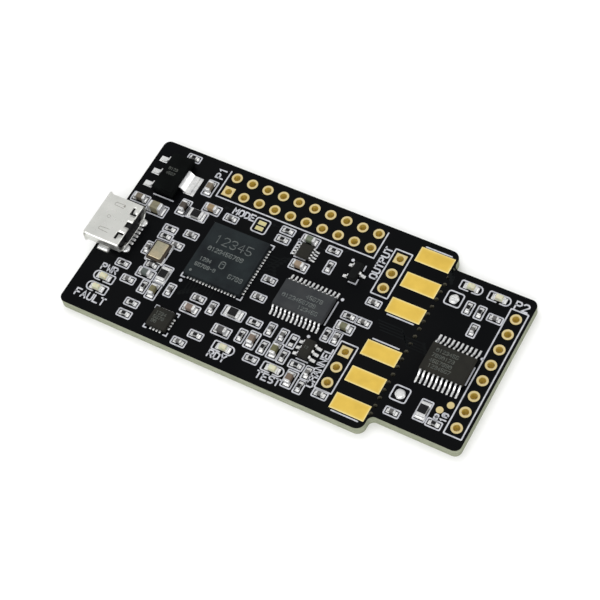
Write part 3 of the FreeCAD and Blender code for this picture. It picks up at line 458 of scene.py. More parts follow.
# painted shade: a darker grey that stands in for the shade in the shell's pressed creases and hole
GROOVE_SHADE = finish("shell_groove_shade", rgb(126, 124, 118), rgb(150, 148, 142), 900.0, 2.0, (0.5, 0.6),
                (3000.0, 5e-6))
MOULD_COOL = mould("controller_mould", rgb(15, 19, 23), rgb(31, 38, 40), 330.0)
MOULD_GREY = mould("converter_mould", rgb(44, 46, 49), rgb(56, 58, 59))
MOULD_WARM = mould("target_mould", rgb(27, 27, 24), rgb(38, 37, 32))
MOULD_BLACK = mould("regulator_mould", rgb(3, 4, 4), rgb(9, 12, 11), rough=(0.5, 0.66),
                    grain=(6000.0, 1.4e-5), gloss=0.04)
MOULD_DARK = mould("small_chip_mould", rgb(7, 9, 9), rgb(15, 17, 16), rough=(0.42, 0.6),
                   grain=(6000.0, 1.4e-5), gloss=0.09)
INSULATOR = finish("socket_insulator", rgb(10, 10, 11), rgb(20, 20, 21), 500.0, 2.0, (0.4, 0.55),
                   (4000.0, 8e-6), Specular_IOR_Level=0.2)
GLAZE = finish("resistor_glaze", rgb(8, 9, 11), rgb(16, 17, 19), 1500.0, 2.0, (0.2, 0.35), (5000.0, 8e-6),
               Specular_IOR_Level=0.2)
ALUMINA = finish("resistor_alumina", rgb(146, 147, 146), rgb(170, 170, 166), 1500.0, 2.0, (0.5, 0.65),
                 (5000.0, 1e-5))
CERAMIC = finish("capacitor_ceramic", (0.5, 0.5, 0.5, 1), (0.72, 0.72, 0.72, 1), 1800.0, 2.5, (0.4, 0.6),
                 (6000.0, 1.4e-5), tinted=True, Specular_IOR_Level=0.3)
# partly painted shade: the ceramic's own brown is darkened to near black to carry the shade in the gaps
# round the lid
CRYSTAL_BASE = finish("crystal_ceramic", rgb(26, 19, 10), rgb(56, 42, 26), 900.0, 2.5, (0.5, 0.65),
                      (5000.0, 1e-5))
CRYSTAL_LID = finish("crystal_lid_metal", rgb(152, 153, 134), rgb(186, 172, 144), 420.0, 3.5, (0.22, 0.4),
                     (2500.0, 6e-6), Metallic=0.85)
LED_BASE = finish("led_base_laminate", rgb(190, 188, 170), rgb(208, 206, 190), 1500.0, 2.0, (0.5, 0.6),
                  (5000.0, 8e-6))
RESIN = finish("led_resin", rgb(190, 189, 157), rgb(207, 205, 179), 1500.0, 2.5, (0.2, 0.35),
               (4000.0, 8e-6), Subsurface_Weight=0.2, Subsurface_Scale=0.0004, Specular_IOR_Level=0.4)
COVERED_COPPER = finish("mask_over_copper", rgb(8, 10, 11), rgb(15, 18, 19), 120.0, 2.5, (0.3, 0.42),
                        (900.0, 6e-6), Specular_IOR_Level=0.06)
INK = finish("white_print", rgb(166, 168, 174), rgb(196, 197, 202), 1600.0, 3.0, (0.55, 0.7),
             (4000.0, 1e-5), Specular_IOR_Level=0.2)
MARK = finish("laser_mark", rgb(74, 80, 80), rgb(104, 108, 106), 2500.0, 3.0, (0.6, 0.75), (6000.0, 8e-6),
              Specular_IOR_Level=0.15)
FAINT_MARK = finish("faint_laser_mark", rgb(64, 68, 66), rgb(88, 90, 84), 2500.0, 3.0, (0.6, 0.75),
                    (6000.0, 8e-6), Specular_IOR_Level=0.12)

CAD_FINISHES = (("board", BOARD_FINISH), ("insulator", INSULATOR), ("barrels", RING_GOLD),
                ("dots", RING_GOLD), ("resistor_bodies", ALUMINA), ("led_bases", LED_BASE), ("", TIN))


def dress_cad_nodes():
    """Gives every CAD node the first finish whose word ends its name; what is left is tinned metal."""
    for name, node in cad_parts.items():
        material = next(finished for word, finished in CAD_FINISHES if name.endswith(word))
        if not node.material_slots:
            node.data.materials.append(material)
        for slot in node.material_slots:
            slot.material = material


dress_cad_nodes()

# ---- chip resistors and capacitors

SOLDER_REACH = 0.26
END_EDGE = 0.16     # radius of a metal end's top edge, as a share of its height


def chip_ends(kinds, solder_share, bodies_word="_bodies"):
    """Soldered ends of chip parts: a cap with a rounded top edge, and solder in a hollow down to the land.

    In the plane of (outward, up): up the inner face, over the cap, round its edge, then down a quarter
    of a circle bulging inwards, and out to the land's lip."""
    surfaces = []
    for kind in kinds:
        bodies, ends = solids(kind + bodies_word), solids(kind + "_ends")
        axes = chip_axes(bodies, ends)
        gap = middles(ends)[:, None, :2] - middles(bodies)[None, :, :2]
        owner = np.argmin((gap ** 2).sum(2), 1)
        outward = np.sign(gap[np.arange(len(ends)), owner]) * axes[owner]
        size = ends[:, 1] - ends[:, 0]
        long = (size[:, :2] * axes[owner]).sum(1)
        wide = (size[:, :2] * (1 - axes[owner])).sum(1)
        high = size[:, 2]
        start = np.hstack([middles(ends)[:, :2] - outward * long[:, None] / 2, ends[:, 0, 2:3]])
        edge = END_EDGE * high
        turn = np.linspace(0, math.pi / 2, 4)
        top = np.stack([long[:, None] + edge[:, None] * (np.sin(turn) - 1),
                        high[:, None] + edge[:, None] * (np.cos(turn) - 1)], -1)
        fall = high * solder_share
        hollow = np.stack([long[:, None] + SOLDER_REACH * (1 - np.cos(turn)),
                           fall[:, None] * (1 - np.sin(turn)) + 0.004], -1)
        inner = np.stack([np.zeros((len(ends), 2)), np.stack([0 * high, high], 1)], -1)
        lip = np.stack([long + SOLDER_REACH, 0 * high], -1)[:, None]
        outline = np.concatenate([inner, top, hollow, lip], 1)
        across = np.array([(-1.0, 0.06, 0.16), (-0.86, 0.0, 0.03), (-0.6, 0.0, 0.0),
                           (0.6, 0.0, 0.0), (0.86, 0.0, 0.03), (1.0, 0.06, 0.16)])
        surfaces.append(extrusions(start, outward, wide + 0.02, outline, across))
    return together(surfaces)


# where a capacitor of its own tone stands, and the tone
CAP_TONES = (
    ((-21.5, 5.5), (88, 80, 72)), ((-17.3, 7.0), (176, 152, 116)), ((-27.7, 4.4), (128, 118, 102)),
    ((-11.7, -8.4), (150, 132, 120)), ((-1.6, -9.1), (142, 126, 112)), ((2.0, -9.2), (122, 120, 84)),
    ((-18.0, -8.1), (132, 126, 92)), ((8.9, -2.1), (128, 128, 100)), ((5.9, -12.1), (132, 114, 98)),
    ((-20.4, -6.1), (104, 112, 108)), ((-5.9, -9.6), (92, 90, 90)), ((-1.9, 8.1), (124, 134, 112)),
    ((-1.4, 3.8), (166, 146, 124)),
)
PLAIN_TONES = (("small", (120, 119, 117), 0.05), ("medium", (140, 128, 110), 0.07),
               ("large", (148, 142, 116), 0.1))
TONE_REACH = 1.0


def capacitor_tints(bodies, plain):
    """Each body takes the tone listed for the nearest place within reach, or else its kind's plain one."""
    places = np.array([place for place, tone in CAP_TONES])
    tones = np.array([rgb(*tone)[:3] for place, tone in CAP_TONES])
    far = np.linalg.norm(middles(bodies)[:, None, :2] - places[None], axis=2)
    near = np.argmin(far, 1)
    return np.where((far.min(1) < TONE_REACH)[:, None], tones[near], np.array(rgb(*plain)[:3])[None])


def drawn(boxes, axes, along, across):
    """Boxes grown along their parts' own directions, and drawn in across them."""
    grown = boxes.copy()
    step = axes * along - (1 - axes) * across
    grown[:, 0, :2] -= step
    grown[:, 1, :2] += step
    return grown


def capacitor_bodies():
    """Ceramic blocks between their ends, with rounded upper edges, each in its own tone."""
    for kind, plain, edge in PLAIN_TONES:
        node = kind + "_capacitor_bodies"
        boxes = solids(node)
        axes = chip_axes(boxes, solids(kind + "_capacitor_ends"))
        profile = shoulder(boxes[0, 1, 2] - boxes[0, 0, 2] - 0.015, edge)
        surface = stacks(drawn(boxes, axes, 0.03, 0.015), profile, edge)
        tints = np.repeat(capacitor_tints(boxes, plain), len(surface[0]) // len(boxes), 0)
        piece(kind + "_capacitor_blocks", surface, CERAMIC, tint=tints, stands_for=(node,))


COAT_SUNK, COAT_PROUD = 0.05, 0.025


def resistor_coats():
    """Black glaze on top of each chip resistor: a thin, soft-edged slab over the white ceramic."""
    for kind in ("small", "large"):
        boxes = solids(kind + "_resistor_bodies")
        slab = drawn(boxes, chip_axes(boxes, solids(kind + "_resistor_ends")), 0.04, 0.02)
        slab[:, 0, 2] = boxes[:, 1, 2] - COAT_SUNK
        surface = stacks(slab, shoulder(COAT_SUNK + COAT_PROUD, 0.035), 0.05)
        piece(kind + "_resistor_coats", surface, GLAZE)


def chip_part_pieces():
    """All chip resistors' and capacitors' ends, blocks and coats."""
    for name, kinds, solder_share in (
            ("resistor", ("small_resistor", "large_resistor"), 0.72),
            ("capacitor", ("small_capacitor", "medium_capacitor", "large_capacitor"), 0.6)):
        piece(name + "_terminals", chip_ends(kinds, solder_share), TIN,
              stands_for=[kind + "_ends" for kind in kinds])
    capacitor_bodies()
    resistor_coats()


chip_part_pieces()

# ---- leads, solder and lenses


def gull_leads(node, body, thick, foot, wide=False):
    """Formed leads: level out of the body, down in a smooth S, then a level foot to the toe.

    The middle line's height follows 3s^2 - 2s^3 between shoulder and foot, and the strip's two faces
    lie half a thickness to either side, square to it."""
    boxes = solids(node)
    centre = middles(solids(body))[0, :2]
    size = boxes[:, 1] - boxes[:, 0]
    away = middles(boxes)[:, :2] - centre
    along_x = (size[:, 0] > size[:, 1]) != wide
    outward = np.where(along_x[:, None], [[1.0, 0.0]], [[0.0, 1.0]]) * np.sign(away)
    run = np.where(along_x, size[:, 0], size[:, 1])
    width = np.where(along_x, size[:, 1], size[:, 0])
    start = np.hstack([middles(boxes)[:, :2] - outward * run[:, None] / 2, boxes[:, 0, 2:3]])
    share = np.linspace(0, 1, 10)
    out = np.concatenate([[-0.05], share * (run[0] - foot - 0.1) + 0.1, [run[0] - 0.02]])
    fall = np.concatenate([[0.0], share ** 2 * (3 - 2 * share), [1.0]])
    up = (size[0, 2] - thick / 2) * (1 - fall) + thick / 2 * fall
    slope = np.stack([np.gradient(out), np.gradient(up)], 1)
    slope /= np.linalg.norm(slope, axis=1, keepdims=True)
    normal = np.stack([-slope[:, 1], slope[:, 0]], 1) * thick / 2
    middle = np.stack([out, up], 1)
    outline = np.vstack([middle + normal, (middle - normal)[::-1]])
    across = np.array([(-1.0, 0, 0), (1.0, 0, 0)], float)
    many = np.repeat(outline[None], len(boxes), 0)
    return extrusions(start, outward, width, many, across)


def lead_pieces():
    """Smooth leads in place of each leaded chip's plain ones, and the regulator's wide tab."""
    for node, thick, foot in (
            ("converter_leads", 0.13, 0.45), ("target_chip_leads", 0.14, 0.5),
            ("gate_chip_leads", 0.11, 0.25), ("transistor_leads", 0.13, 0.3),
            ("amplifier_leads", 0.13, 0.35), ("regulator_leads", 0.26, 0.9), ("regulator_tab", 0.26, 0.8)):
        body = node.rpartition("_")[0] + "_body"
        formed = gull_leads(node, body, thick, foot, wide=node.endswith("tab"))
        piece(node + "_formed", formed, TIN, stands_for=(node,))


lead_pieces()


def solder_cushions():
    """Reflowed solder on every land: a low cushion with a drawn-in, rounded top."""
    boxes = solids("solder_lands")
    boxes[:, :, 2] = LAND_TOP - 0.01
    profile = [(0.012, 0.0), (0.02, 0.03), (0.05, 0.055), (0.1, 0.068)]
    return stacks(boxes, profile, 0.07, 3)


def lens_caps():
    """Cast lenses of the light-emitting diodes: drafted sides and a softly rounded crown."""
    boxes = solids("led_lenses")
    height = boxes[0, 1, 2] - boxes[0, 0, 2]
    return stacks(boxes, [(0.0, 0.0), (0.03, 0.25 * height), (0.05, 0.62 * height), (0.075, 0.82 * height),
                          (0.12, 0.94 * height), (0.2, height)], 0.1, 4)


def bordered_pads():
    """Gold pads with a rolled rim; the paler tints up the sides and round the rim are a painted highlight,
    and the jumper's are paler all over.
    """
    rows = [(0.0, 0.0), (0.0, 0.03), (0.025, 0.046), (0.07, 0.05), (0.26, 0.05), (0.5, 0.05)]
    # painted highlight: in both lists the rows up the side and round the rolled rim are paler than the pad's
    # middle
    bright = np.array([rgb(250, 234, 164), rgb(250, 234, 164), rgb(254, 238, 172), rgb(250, 228, 150),
                       rgb(243, 208, 102), rgb(240, 203, 92)])[:, :3]
    pale = np.array([rgb(226, 220, 182)] * 3 + [rgb(220, 213, 164)] + [rgb(216, 208, 150)] * 2)[:, :3]
    for node, rim, tones in (("edge_connector_pads", 1.0, bright), ("jumper_pads", 0.5, pale)):
        boxes = solids(node)
        surface = stacks(boxes, [(inset * rim, up) for inset, up in rows], 0.04 * rim)
        ring = len(surface[0]) // (len(boxes) * len(rows))
        tints = np.tile(np.repeat(tones, ring, 0), (len(boxes), 1))
        piece(node + "_plated", surface, PAD_GOLD, tint=tints, stands_for=(node,))


LID_SUNK = 0.1


def crystal_case():
    """The crystal's ceramic tray with a stepped rim, and its pressed metal lid with a rolled edge."""
    tray, lid = solids("crystal_base"), solids("crystal_lid")
    deep = tray[0, 1, 2] - tray[0, 0, 2]
    lid[0, 0, 2] -= LID_SUNK
    high = lid[0, 1, 2] - lid[0, 0, 2]
    tray_profile = [(0.03, 0.0), (0.0, 0.03), (0.0, deep - 0.06), (0.06, deep)]
    piece("crystal_tray", stacks(tray, tray_profile, 0.16, 4), CRYSTAL_BASE,
          stands_for=("crystal_base",))
    rolled = [(0.08, 0.0), (0.08, high - 0.14), (0.1, high - 0.07), (0.15, high - 0.02), (0.24, high)]
    piece("crystal_pressed_lid", stacks(lid, rolled, 0.22, 5), CRYSTAL_LID,
          stands_for=("crystal_lid",))


piece("solder_cushions", solder_cushions(), TIN)
bordered_pads()
piece("led_terminals", chip_ends(("led",), 0.85, "_bases"), TIN, stands_for=("led_ends",))
crystal_case()
piece("led_lens_caps", lens_caps(), RESIN, stands_for=("led_lenses",))

# ---- moulded bodies and their marks

BODIES = (("controller_body", MOULD_COOL, False), ("clock_chip_body", MOULD_WARM, False),
          ("converter_body", MOULD_GREY, True), ("target_chip_body", MOULD_WARM, True),
          ("gate_chip_body", MOULD_WARM, True), ("transistor_body", MOULD_DARK, True),
          ("amplifier_body", MOULD_WARM, True), ("regulator_body", MOULD_BLACK, True))


def moulded_bodies():
    """Moulded blocks: leaded ones draw in above and below a parting line, leadless ones stand straight."""
    for node, material, leaded in BODIES:
        boxes = solids(node)
        high = boxes[0, 1, 2] - boxes[0, 0, 2]
        straight = [(0.0, 0.0), (0.0, high - 0.045), (0.014, high - 0.013), (0.045, high)]
        drafted = [(0.13, 0.0), (0.02, 0.45 * high), (0.0, 0.47 * high), (0.0, 0.53 * high),
                   (0.02, 0.55 * high), (0.12, high - 0.045), (0.134, high - 0.013), (0.17, high)]
        surface = stacks(boxes, drafted if leaded else straight, 0.12, 4)
        piece(node + "_moulded", surface, material, stands_for=(node,))


# chip: ink, line width, and rows of digits with their place from the chip's middle and their height
MARK_ROWS = {
    "controller": (MARK, 0.13, (("12345", -3.0, 1.5, 1.3), ("0123456789", -3.2, 0.1, 0.6),
                                ("0", -0.3, -1.9, 1.1), ("1234", -3.4, -1.8, 0.5),
                                ("56789-0", -3.6, -2.85, 0.5), ("6789", 1.7, -2.85, 0.62))),
    "converter": (MARK, 0.1, (("45678", 0.1, 0.35, 0.55), ("0123456789", -3.1, -0.65, 0.55),
                              ("123456", -0.2, -1.6, 0.55))),
    "target_chip": (FAINT_MARK, 0.1, (("0123456", -2.2, 0.85, 0.5), ("7890123", -2.4, 0.0, 0.5),
                                      ("4567890", -2.4, -0.85, 0.5), ("1234567", -2.2, -1.65, 0.5))),
    "clock_chip": (FAINT_MARK, 0.09, (("1234", -1.0, 0.35, 0.45), ("5678", -1.0, -0.35, 0.45),
                                      ("90", -1.0, -1.0, 0.45))),
    "regulator": (FAINT_MARK, 0.08, (("0123", -0.9, 0.3, 0.4), ("4567", -0.9, -0.5, 0.4))),
    "amplifier": (FAINT_MARK, 0.07, (("12", -0.35, -0.15, 0.35),)),
}


def mark_pieces():
    """Rows of plain digits on the chips' tops, and the controller's first-pin dot."""
    for chip, (ink, width, rows) in MARK_ROWS.items():
        box = solids(chip + "_body")[0]
        centre, top = box.mean(0)[:2], box[1, 2] - 0.004
        strips = [one for text, x, y, height in rows
                  for one in lettering(text, centre + (x, y), height, 0.0, width, top, 0.008)]
        if chip == "controller":
            strips.append(disc(centre + (-3.65, -3.8), 0.2, top, 0.009))
        piece(chip + "_digits", together(strips), ink, smooth=False)


moulded_bodies()

# ---- the socket's shell

MOUTH, REAR = edges("usb_shell")[:, 0]
SHELL_MIDDLE = edges("usb_shell")[:, 1].mean()
SHELL_HALF, SHELL_HIGH, SHELL_WALL = 3.725, 2.55, 0.25
SHELL_FOOT = BOARD_TOP + 0.01
LIP, LIP_RISE = 0.45, 0.2
RIM_LEAN = 0.17     # how far the wall's inner edge leans out past its outer edge at the flared mouth
# openings in the shell's top: from and to across the board, then from and to in front of the rear
SLOTS = ((0.15, 1.36, 0.76, 1.18), (0.12, 0.48, 0.12, 1.18), (-4.2, -2.98, 0.76, 1.18),
         (-3.33, -2.97, 0.12, 1.18), (-1.95, -1.0, 0.0, 0.8))


def shell_ring():
    """The tube's outline seen from the mouth: a rounded box whose lower corners are cut off at 45 degrees.

    Each corner is a quadratic curve between points a reach before and after it; the flat top has points of
    its own where the slots begin and end."""
    bevel = 0.85
    corners = np.array([(SHELL_HALF - bevel, 0.0), (SHELL_HALF, bevel), (SHELL_HALF, SHELL_HIGH),
                        (-SHELL_HALF, SHELL_HIGH), (-SHELL_HALF, bevel), (bevel - SHELL_HALF, 0.0)])
    reach = np.array([0.28, 0.28, 0.5, 0.5, 0.28, 0.28])[:, None]
    before = np.roll(corners, 1, 0) - corners
    after = np.roll(corners, -1, 0) - corners
    before *= reach / np.linalg.norm(before, axis=1, keepdims=True)
    after *= reach / np.linalg.norm(after, axis=1, keepdims=True)
    share = np.linspace(0, 1, 6)[None, :, None]
    arcs = corners[:, None] + before[:, None] * (1 - share) ** 2 + after[:, None] * share ** 2
    cuts = np.array(sorted({edge for slot in SLOTS for edge in slot[:2]}, reverse=True)) - SHELL_MIDDLE
    top = np.stack([cuts, np.full(len(cuts), SHELL_HIGH)], 1)
    return np.vstack([arcs[:3].reshape(-1, 2), top, arcs[3:].reshape(-1, 2)])


def socket_shell():
    """The folded shell: its outline carried along the socket, growing towards the mouth as the power 1.6
    of the way through the lip; the faces inside a slot are left out, and Solidify gives the wall."""
    ring = shell_ring()
    mouth = MOUTH + RIM_LEAN
    marks = {REAR, REAR - 0.2} | {REAR - edge for slot in SLOTS for edge in slot[2:]}
    inside = np.linspace(mouth + LIP, REAR - 1.2, 7)
    lip = mouth + LIP * np.linspace(0, 1, 6, endpoint=False)
    rows = np.concatenate([lip, inside, sorted(marks)])
    grow = LIP_RISE * np.clip((mouth + LIP - rows) / LIP, 0, 1) ** 1.6
    centre = np.array([0.0, SHELL_HIGH / 2])
    outward = ring - centre
    outward = np.sign(outward) * np.minimum(np.abs(outward) / (SHELL_HIGH / 2), 1.0)
    flat = ring[None] + grow[:, None, None] * outward[None]
    points = np.concatenate([np.broadcast_to(rows[:, None, None], flat.shape[:2] + (1,)),
                             flat[..., :1] + SHELL_MIDDLE, flat[..., 1:] + SHELL_FOOT], -1).reshape(-1, 3)
    faces = tube_faces(1, len(rows), len(ring), closed_ends=False)
    middle = points[np.array(faces)].mean(1)
    cut = np.zeros(len(faces), bool)
    for low, high, near, far in SLOTS:
        cut |= ((middle[:, 2] > BOARD_TOP + SHELL_HIGH - 0.05) & (middle[:, 1] > low) & (middle[:, 1] < high)
                & (middle[:, 0] < REAR - near) & (middle[:, 0] > REAR - far))
    faces = [face for face, gone in zip(facing_out(points, faces), cut) if not gone]
    shell = piece("socket_shell", (points, faces), STEEL, stands_for=("usb_shell",))
    wall = shell.modifiers.new("wall", "SOLIDIFY")
    wall.thickness = SHELL_WALL * MM
    wall.offset = -1.0
    wall.use_even_offset = True


EAR_MIDDLE = MOUTH + 2.9
EAR_HALF, EAR_HIGH = 0.85, 0.25
SOLDER_HALF, SOLDER_HIGH = 0.95, 0.5
LEG_HALF, LEG_THICK, LEG_HIGH = 0.35, 0.25, BOARD_TOP + 0.55


def socket_feet():
    """Ears beside the shell, legs down through the board, and the solder that holds them."""
    ears, legs, blobs = [], [], []
    for side in (-1, 1):
        near, far = sorted((SHELL_MIDDLE + side * 2.75, SHELL_MIDDLE + side * 4.12))
        ears.append([(EAR_MIDDLE - EAR_HALF, near, BOARD_TOP),
                     (EAR_MIDDLE + EAR_HALF, far, BOARD_TOP + EAR_HIGH)])
        near, far = sorted((SHELL_MIDDLE + side * 3.15, SHELL_MIDDLE + side * 4.1))
        blobs.append([(EAR_MIDDLE - SOLDER_HALF, near, BOARD_TOP),
                      (EAR_MIDDLE + SOLDER_HALF, far, BOARD_TOP + SOLDER_HIGH)])
        middle = SHELL_MIDDLE + side * 2.35
        legs.append([(REAR - LEG_THICK, middle - LEG_HALF, 0.0), (REAR, middle + LEG_HALF, LEG_HIGH)])
    ear = [(0, 0), (0, EAR_HIGH - 0.05), (0.03, EAR_HIGH)]
    leg = [(0, 0), (0, LEG_HIGH - 0.05), (0.04, LEG_HIGH)]
    soft = [(0.0, 0.0), (0.03, 0.14), (0.1, 0.28), (0.2, 0.38), (0.32, 0.44)]
    piece("socket_ears", stacks(np.array(ears), ear, 0.06), STEEL)
    piece("socket_legs", stacks(np.array(legs), leg, 0.05), STEEL)
    piece("ear_solder", stacks(np.array(blobs), soft, 0.34, 5), TIN)
    spots = middles(solids("usb_leg_solder"))[:, :2] - (0.16, 0.0)
    drops = domes(spots, np.array([0.66, 0.66]), BOARD_TOP, 0.34, 0.1)
    piece("leg_solder_drops", drops, TIN, stands_for=("usb_leg_solder",))


def shell_marks():
    """Painted shade in the shell's top: grey lines for the pressed creases of the two latch springs and
    round a dimple, and a grey disc for a small hole.
    """
    top = SHELL_FOOT + SHELL_HIGH - 0.004
    lines = []
    for y in (0.9, -3.5):
        spring = [(-27.6, y - 0.3), (-29.1, y - 0.22), (-29.2, y), (-29.1, y + 0.22), (-27.6, y + 0.3)]
        lines.append(strip(spring, 0.07, top, 0.008))
    lines.append(strip(rounded_outline((-28.85, -1.35), (0.24, 0.24), 0.22), 0.05, top, 0.008, True))
    lines.append(disc((-27.64, 0.97), 0.17, top, 0.012))
    piece("shell_pressed_line_shade", together(lines), GROOVE_SHADE, smooth=False)


socket_shell()
socket_feet()

# ---- white print

PRINT_WIDTH = 0.2
PRINT_THICK = 0.02
WORD_WIDTH = 0.225
# strokes of each letter: pairs of digits are places across and up on a grid 4 wide and 6 high
GLYPHS = {
    "A": "002640 1232", "C": "4536160501103041", "D": "00062645412000", "E": "46060040 0333",
    "F": "460600 0333", "H": "0006 4046 0343", "L": "060040", "M": "0006234640", "N": "00064046",
    "O": "100105163645413010", "P": "00063645443303", "R": "00063645443303 2340",
    "S": "454636160504133342413010", "T": "2026 0646", "U": "060110304146", "W": "0610234046",
    "Y": "062346 2320", "0": "100105163645413010 1434", "1": "152620", "2": "05163645440040",
    "3": "051636454433134241301001", "4": "30360242", "5": "460603334241301001",
    "6": "453616050110304142334303", "7": "064610", "8": "13040516364544331302011030414233",
    "9": "0110304145361605041343", "-": "1333",
}


LETTER_ROWS, LETTER_STEP = 6, 5.7


def lettering(text, corner, height, turn, width, low, thick=PRINT_THICK):
    """Plain stroke letters, written from corner along the direction turn."""
    unit = height / LETTER_ROWS
    along = np.array([math.cos(turn), math.sin(turn)])
    upward = np.array([-along[1], along[0]])
    strips = []
    for place, letter in enumerate(text):
        for stroke in GLYPHS[letter].split():
            spots = np.array([int(digit) for digit in stroke], float).reshape(-1, 2)
            spots[:, 0] += place * LETTER_STEP
            path = np.array(corner) + unit * (spots[:, :1] * along + spots[:, 1:] * upward)
            strips.append(strip(path, width, low, thick))
    return strips


def rounded_outline(centre, half, radius, steps=4):
    """A rounded rectangle as a closed path."""
    signs, arc = rounded_ring(steps)
    return np.array(centre) + signs * (np.array(half) - radius) + arc * radius


def line(path, closed=False, width=PRINT_WIDTH):
    """One printed line on the board."""
    return strip(path, width, BOARD_TOP, PRINT_THICK, closed)


def frame_round(low, high, gap, radius):
    """A printed frame a gap away from a box."""
    return line(rounded_outline((low + high) / 2, (high - low) / 2 + gap, radius), True)


PART_CORNER = 0.14
EMPTY_PLACE, EMPTY_HALF = (3.625, -6.95), (0.56, 1.04)


def part_outlines():
    """A rounded frame round every chip part, as long and as wide as its kind needs, and round the lands
    that carry no part."""
    lines = []
    for kind, length, wide in (("small_resistor", 2.08, 1.12), ("small_capacitor", 2.08, 1.12),
                               ("medium_capacitor", 2.65, 1.5), ("large_capacitor", 3.1, 1.9),
                               ("large_resistor", 3.15, 1.6)):
        bodies = solids(kind + "_bodies")
        for centre, axis in zip(middles(bodies), chip_axes(bodies, solids(kind + "_ends"))):
            half = axis * length / 2 + (1 - axis) * wide / 2
            lines.append(line(rounded_outline(centre[:2], half, PART_CORNER), True))
    lines.append(line(rounded_outline(EMPTY_PLACE, EMPTY_HALF, PART_CORNER), True))
    return lines


def diode_outlines():
    """A frame round each light-emitting diode: one end rounded, and a gap in the line under the lens."""
    lines = []
    for centre in middles(solids("led_bases")):
        flip = -1.0 if centre[0] < SOCKET_EDGE + 8 else 1.0
        turn = np.linspace(-math.pi / 2, math.pi / 2, 9)
        arc = np.stack([1.0 + 0.6 * np.cos(turn), 0.675 * np.sin(turn)], 1)
        square = [(-1.46, 0.675), (-1.6, 0.535), (-1.6, -0.535), (-1.46, -0.675), (-0.25, -0.675)]
        path = np.vstack([[(0.35, -0.675)], arc, square]) * (flip, 1.0) + centre[:2]
        lines.append(line(path))
    return lines


def header_frames():
    """Frames round the pin holes, each a set distance from its row."""
    low, high = edges("expansion_header_barrels")
    left, right, foot, top = low[0] - 0.52, high[0] + 0.36, low[1] - 0.5, high[1] - 0.1
    lines = [line([(left, top), (left, foot), (right, foot), (right, top)])]
    for node in ("upper_port_barrels", "lower_port_barrels", "target_header_barrels"):
        lines.append(frame_round(*edges(node)[:, :2], (0.47, 0.5), 0.1))
    return lines


def corner_marks(node, reach, arm):
    """An L at each corner of a chip's place."""
    low, high = edges(node)[:, :2]
    centre, half = (low + high) / 2, (high - low) / 2 + reach
    lines = []
    for sx, sy in ((1, 1), (-1, 1), (-1, -1), (1, -1)):
        tip = centre + half * (sx, sy)
        lines.append(line([tip - (sx * arm, 0), tip, tip - (0, sy * arm)]))
    return lines


RING_RADIUS = 0.8
FIRST_PIN = edges("expansion_header_barrels")[0, :2] + RING_RADIUS


def from_pin(x, y):
    """A place measured from the first pin of the expansion header."""
    return FIRST_PIN + (x, y)


# lines and dots beside the chips and ports, as places from the first pin
PIN_LINES = (
    ((-9.75, -4.7), (-6.5, -4.7)), ((22.9, -13.45), (22.9, -9.55)), ((44.0, -13.65), (44.0, -10.85)),
    ((13.2, -5.35), (13.2, -2.9)), ((13.8, -5.55), (15.5, -5.55)), ((23.7, -3.7), (23.7, -2.9)),
    ((22.6, -6.05), (23.7, -6.05), (23.7, -5.25)), ((21.9, -19.55), (23.6, -19.55)),
    ((37.8, -16.05), (37.8, -14.05)), ((37.9, -9.65), (37.9, -8.25)), ((29.8, 3.35), (33.7, 3.35)),
    ((29.8, -8.4), (33.7, -8.4)), ((29.8, -12.55), (33.7, -12.55)), ((29.8, -24.4), (33.7, -24.4)),
)
PIN_DOTS = (((1.3, -15.6), 0.25), ((23.25, -8.95), 0.24), ((44.3, -9.25), 0.22), ((13.2, -2.9), 0.2),
            ((21.6, -2.75), 0.24), ((21.8, -15.95), 0.24))


def loose_lines():
    """Single lines and first-pin dots beside the chips, port pads and socket."""
    lines = [line([from_pin(*spot) for spot in path]) for path in PIN_LINES]
    lines += [disc(from_pin(*spot), radius, BOARD_TOP, PRINT_THICK) for spot, radius in PIN_DOTS]
    return lines


def small_frames():
    """Rounded frames round the jumper, the two test points and the crystal's place."""
    lines = [frame_round(*edges("jumper_pads")[:, :2], (0.5, 0.4), 0.35)]
    for box in solids("test_point_domes"):
        lines.append(line(rounded_outline(box.mean(0)[:2], (1.14, 1.1), 0.35), True))
    lines.append(frame_round(*edges("crystal_base")[:, :2], (0.2, 0.16), 0.2))
    return lines


# label, place from the first pin, letter height and direction in degrees
WORDS = (
    ("P1", (-1.95, 1.5), 1.1, 90), ("MODE", (2.35, -2.9), 0.95, 0), ("OUTPUT", (25.8, -4.2), 0.98, 90),
    ("CHANNEL", (25.85, -22.6), 0.98, 90), ("P2", (44.75, -0.45), 1.15, 0),
    ("PWR", (-10.1, -18.65), 0.95, 0), ("FAULT", (-11.3, -23.75), 1.05, 0), ("RDY", (10.65, -24.35), 1.0, 0),
    ("TEST", (18.15, -24.35), 1.0, 0), ("10", (44.0, -19.7), 0.75, 90), ("8", (42.4, -19.75), 0.7, 0),
)


def words():
    """The plain labels."""
    strips = []
    for text, place, height, degrees in WORDS:
        strips += lettering(text, from_pin(*place), height, math.radians(degrees), WORD_WIDTH, BOARD_TOP)
    return strips


PITCH = 2.54
TRACK_WIDTH, TRACK_THICK, VIA_RADIUS, VIA_THICK = 0.16, 0.012, 0.26, 0.014


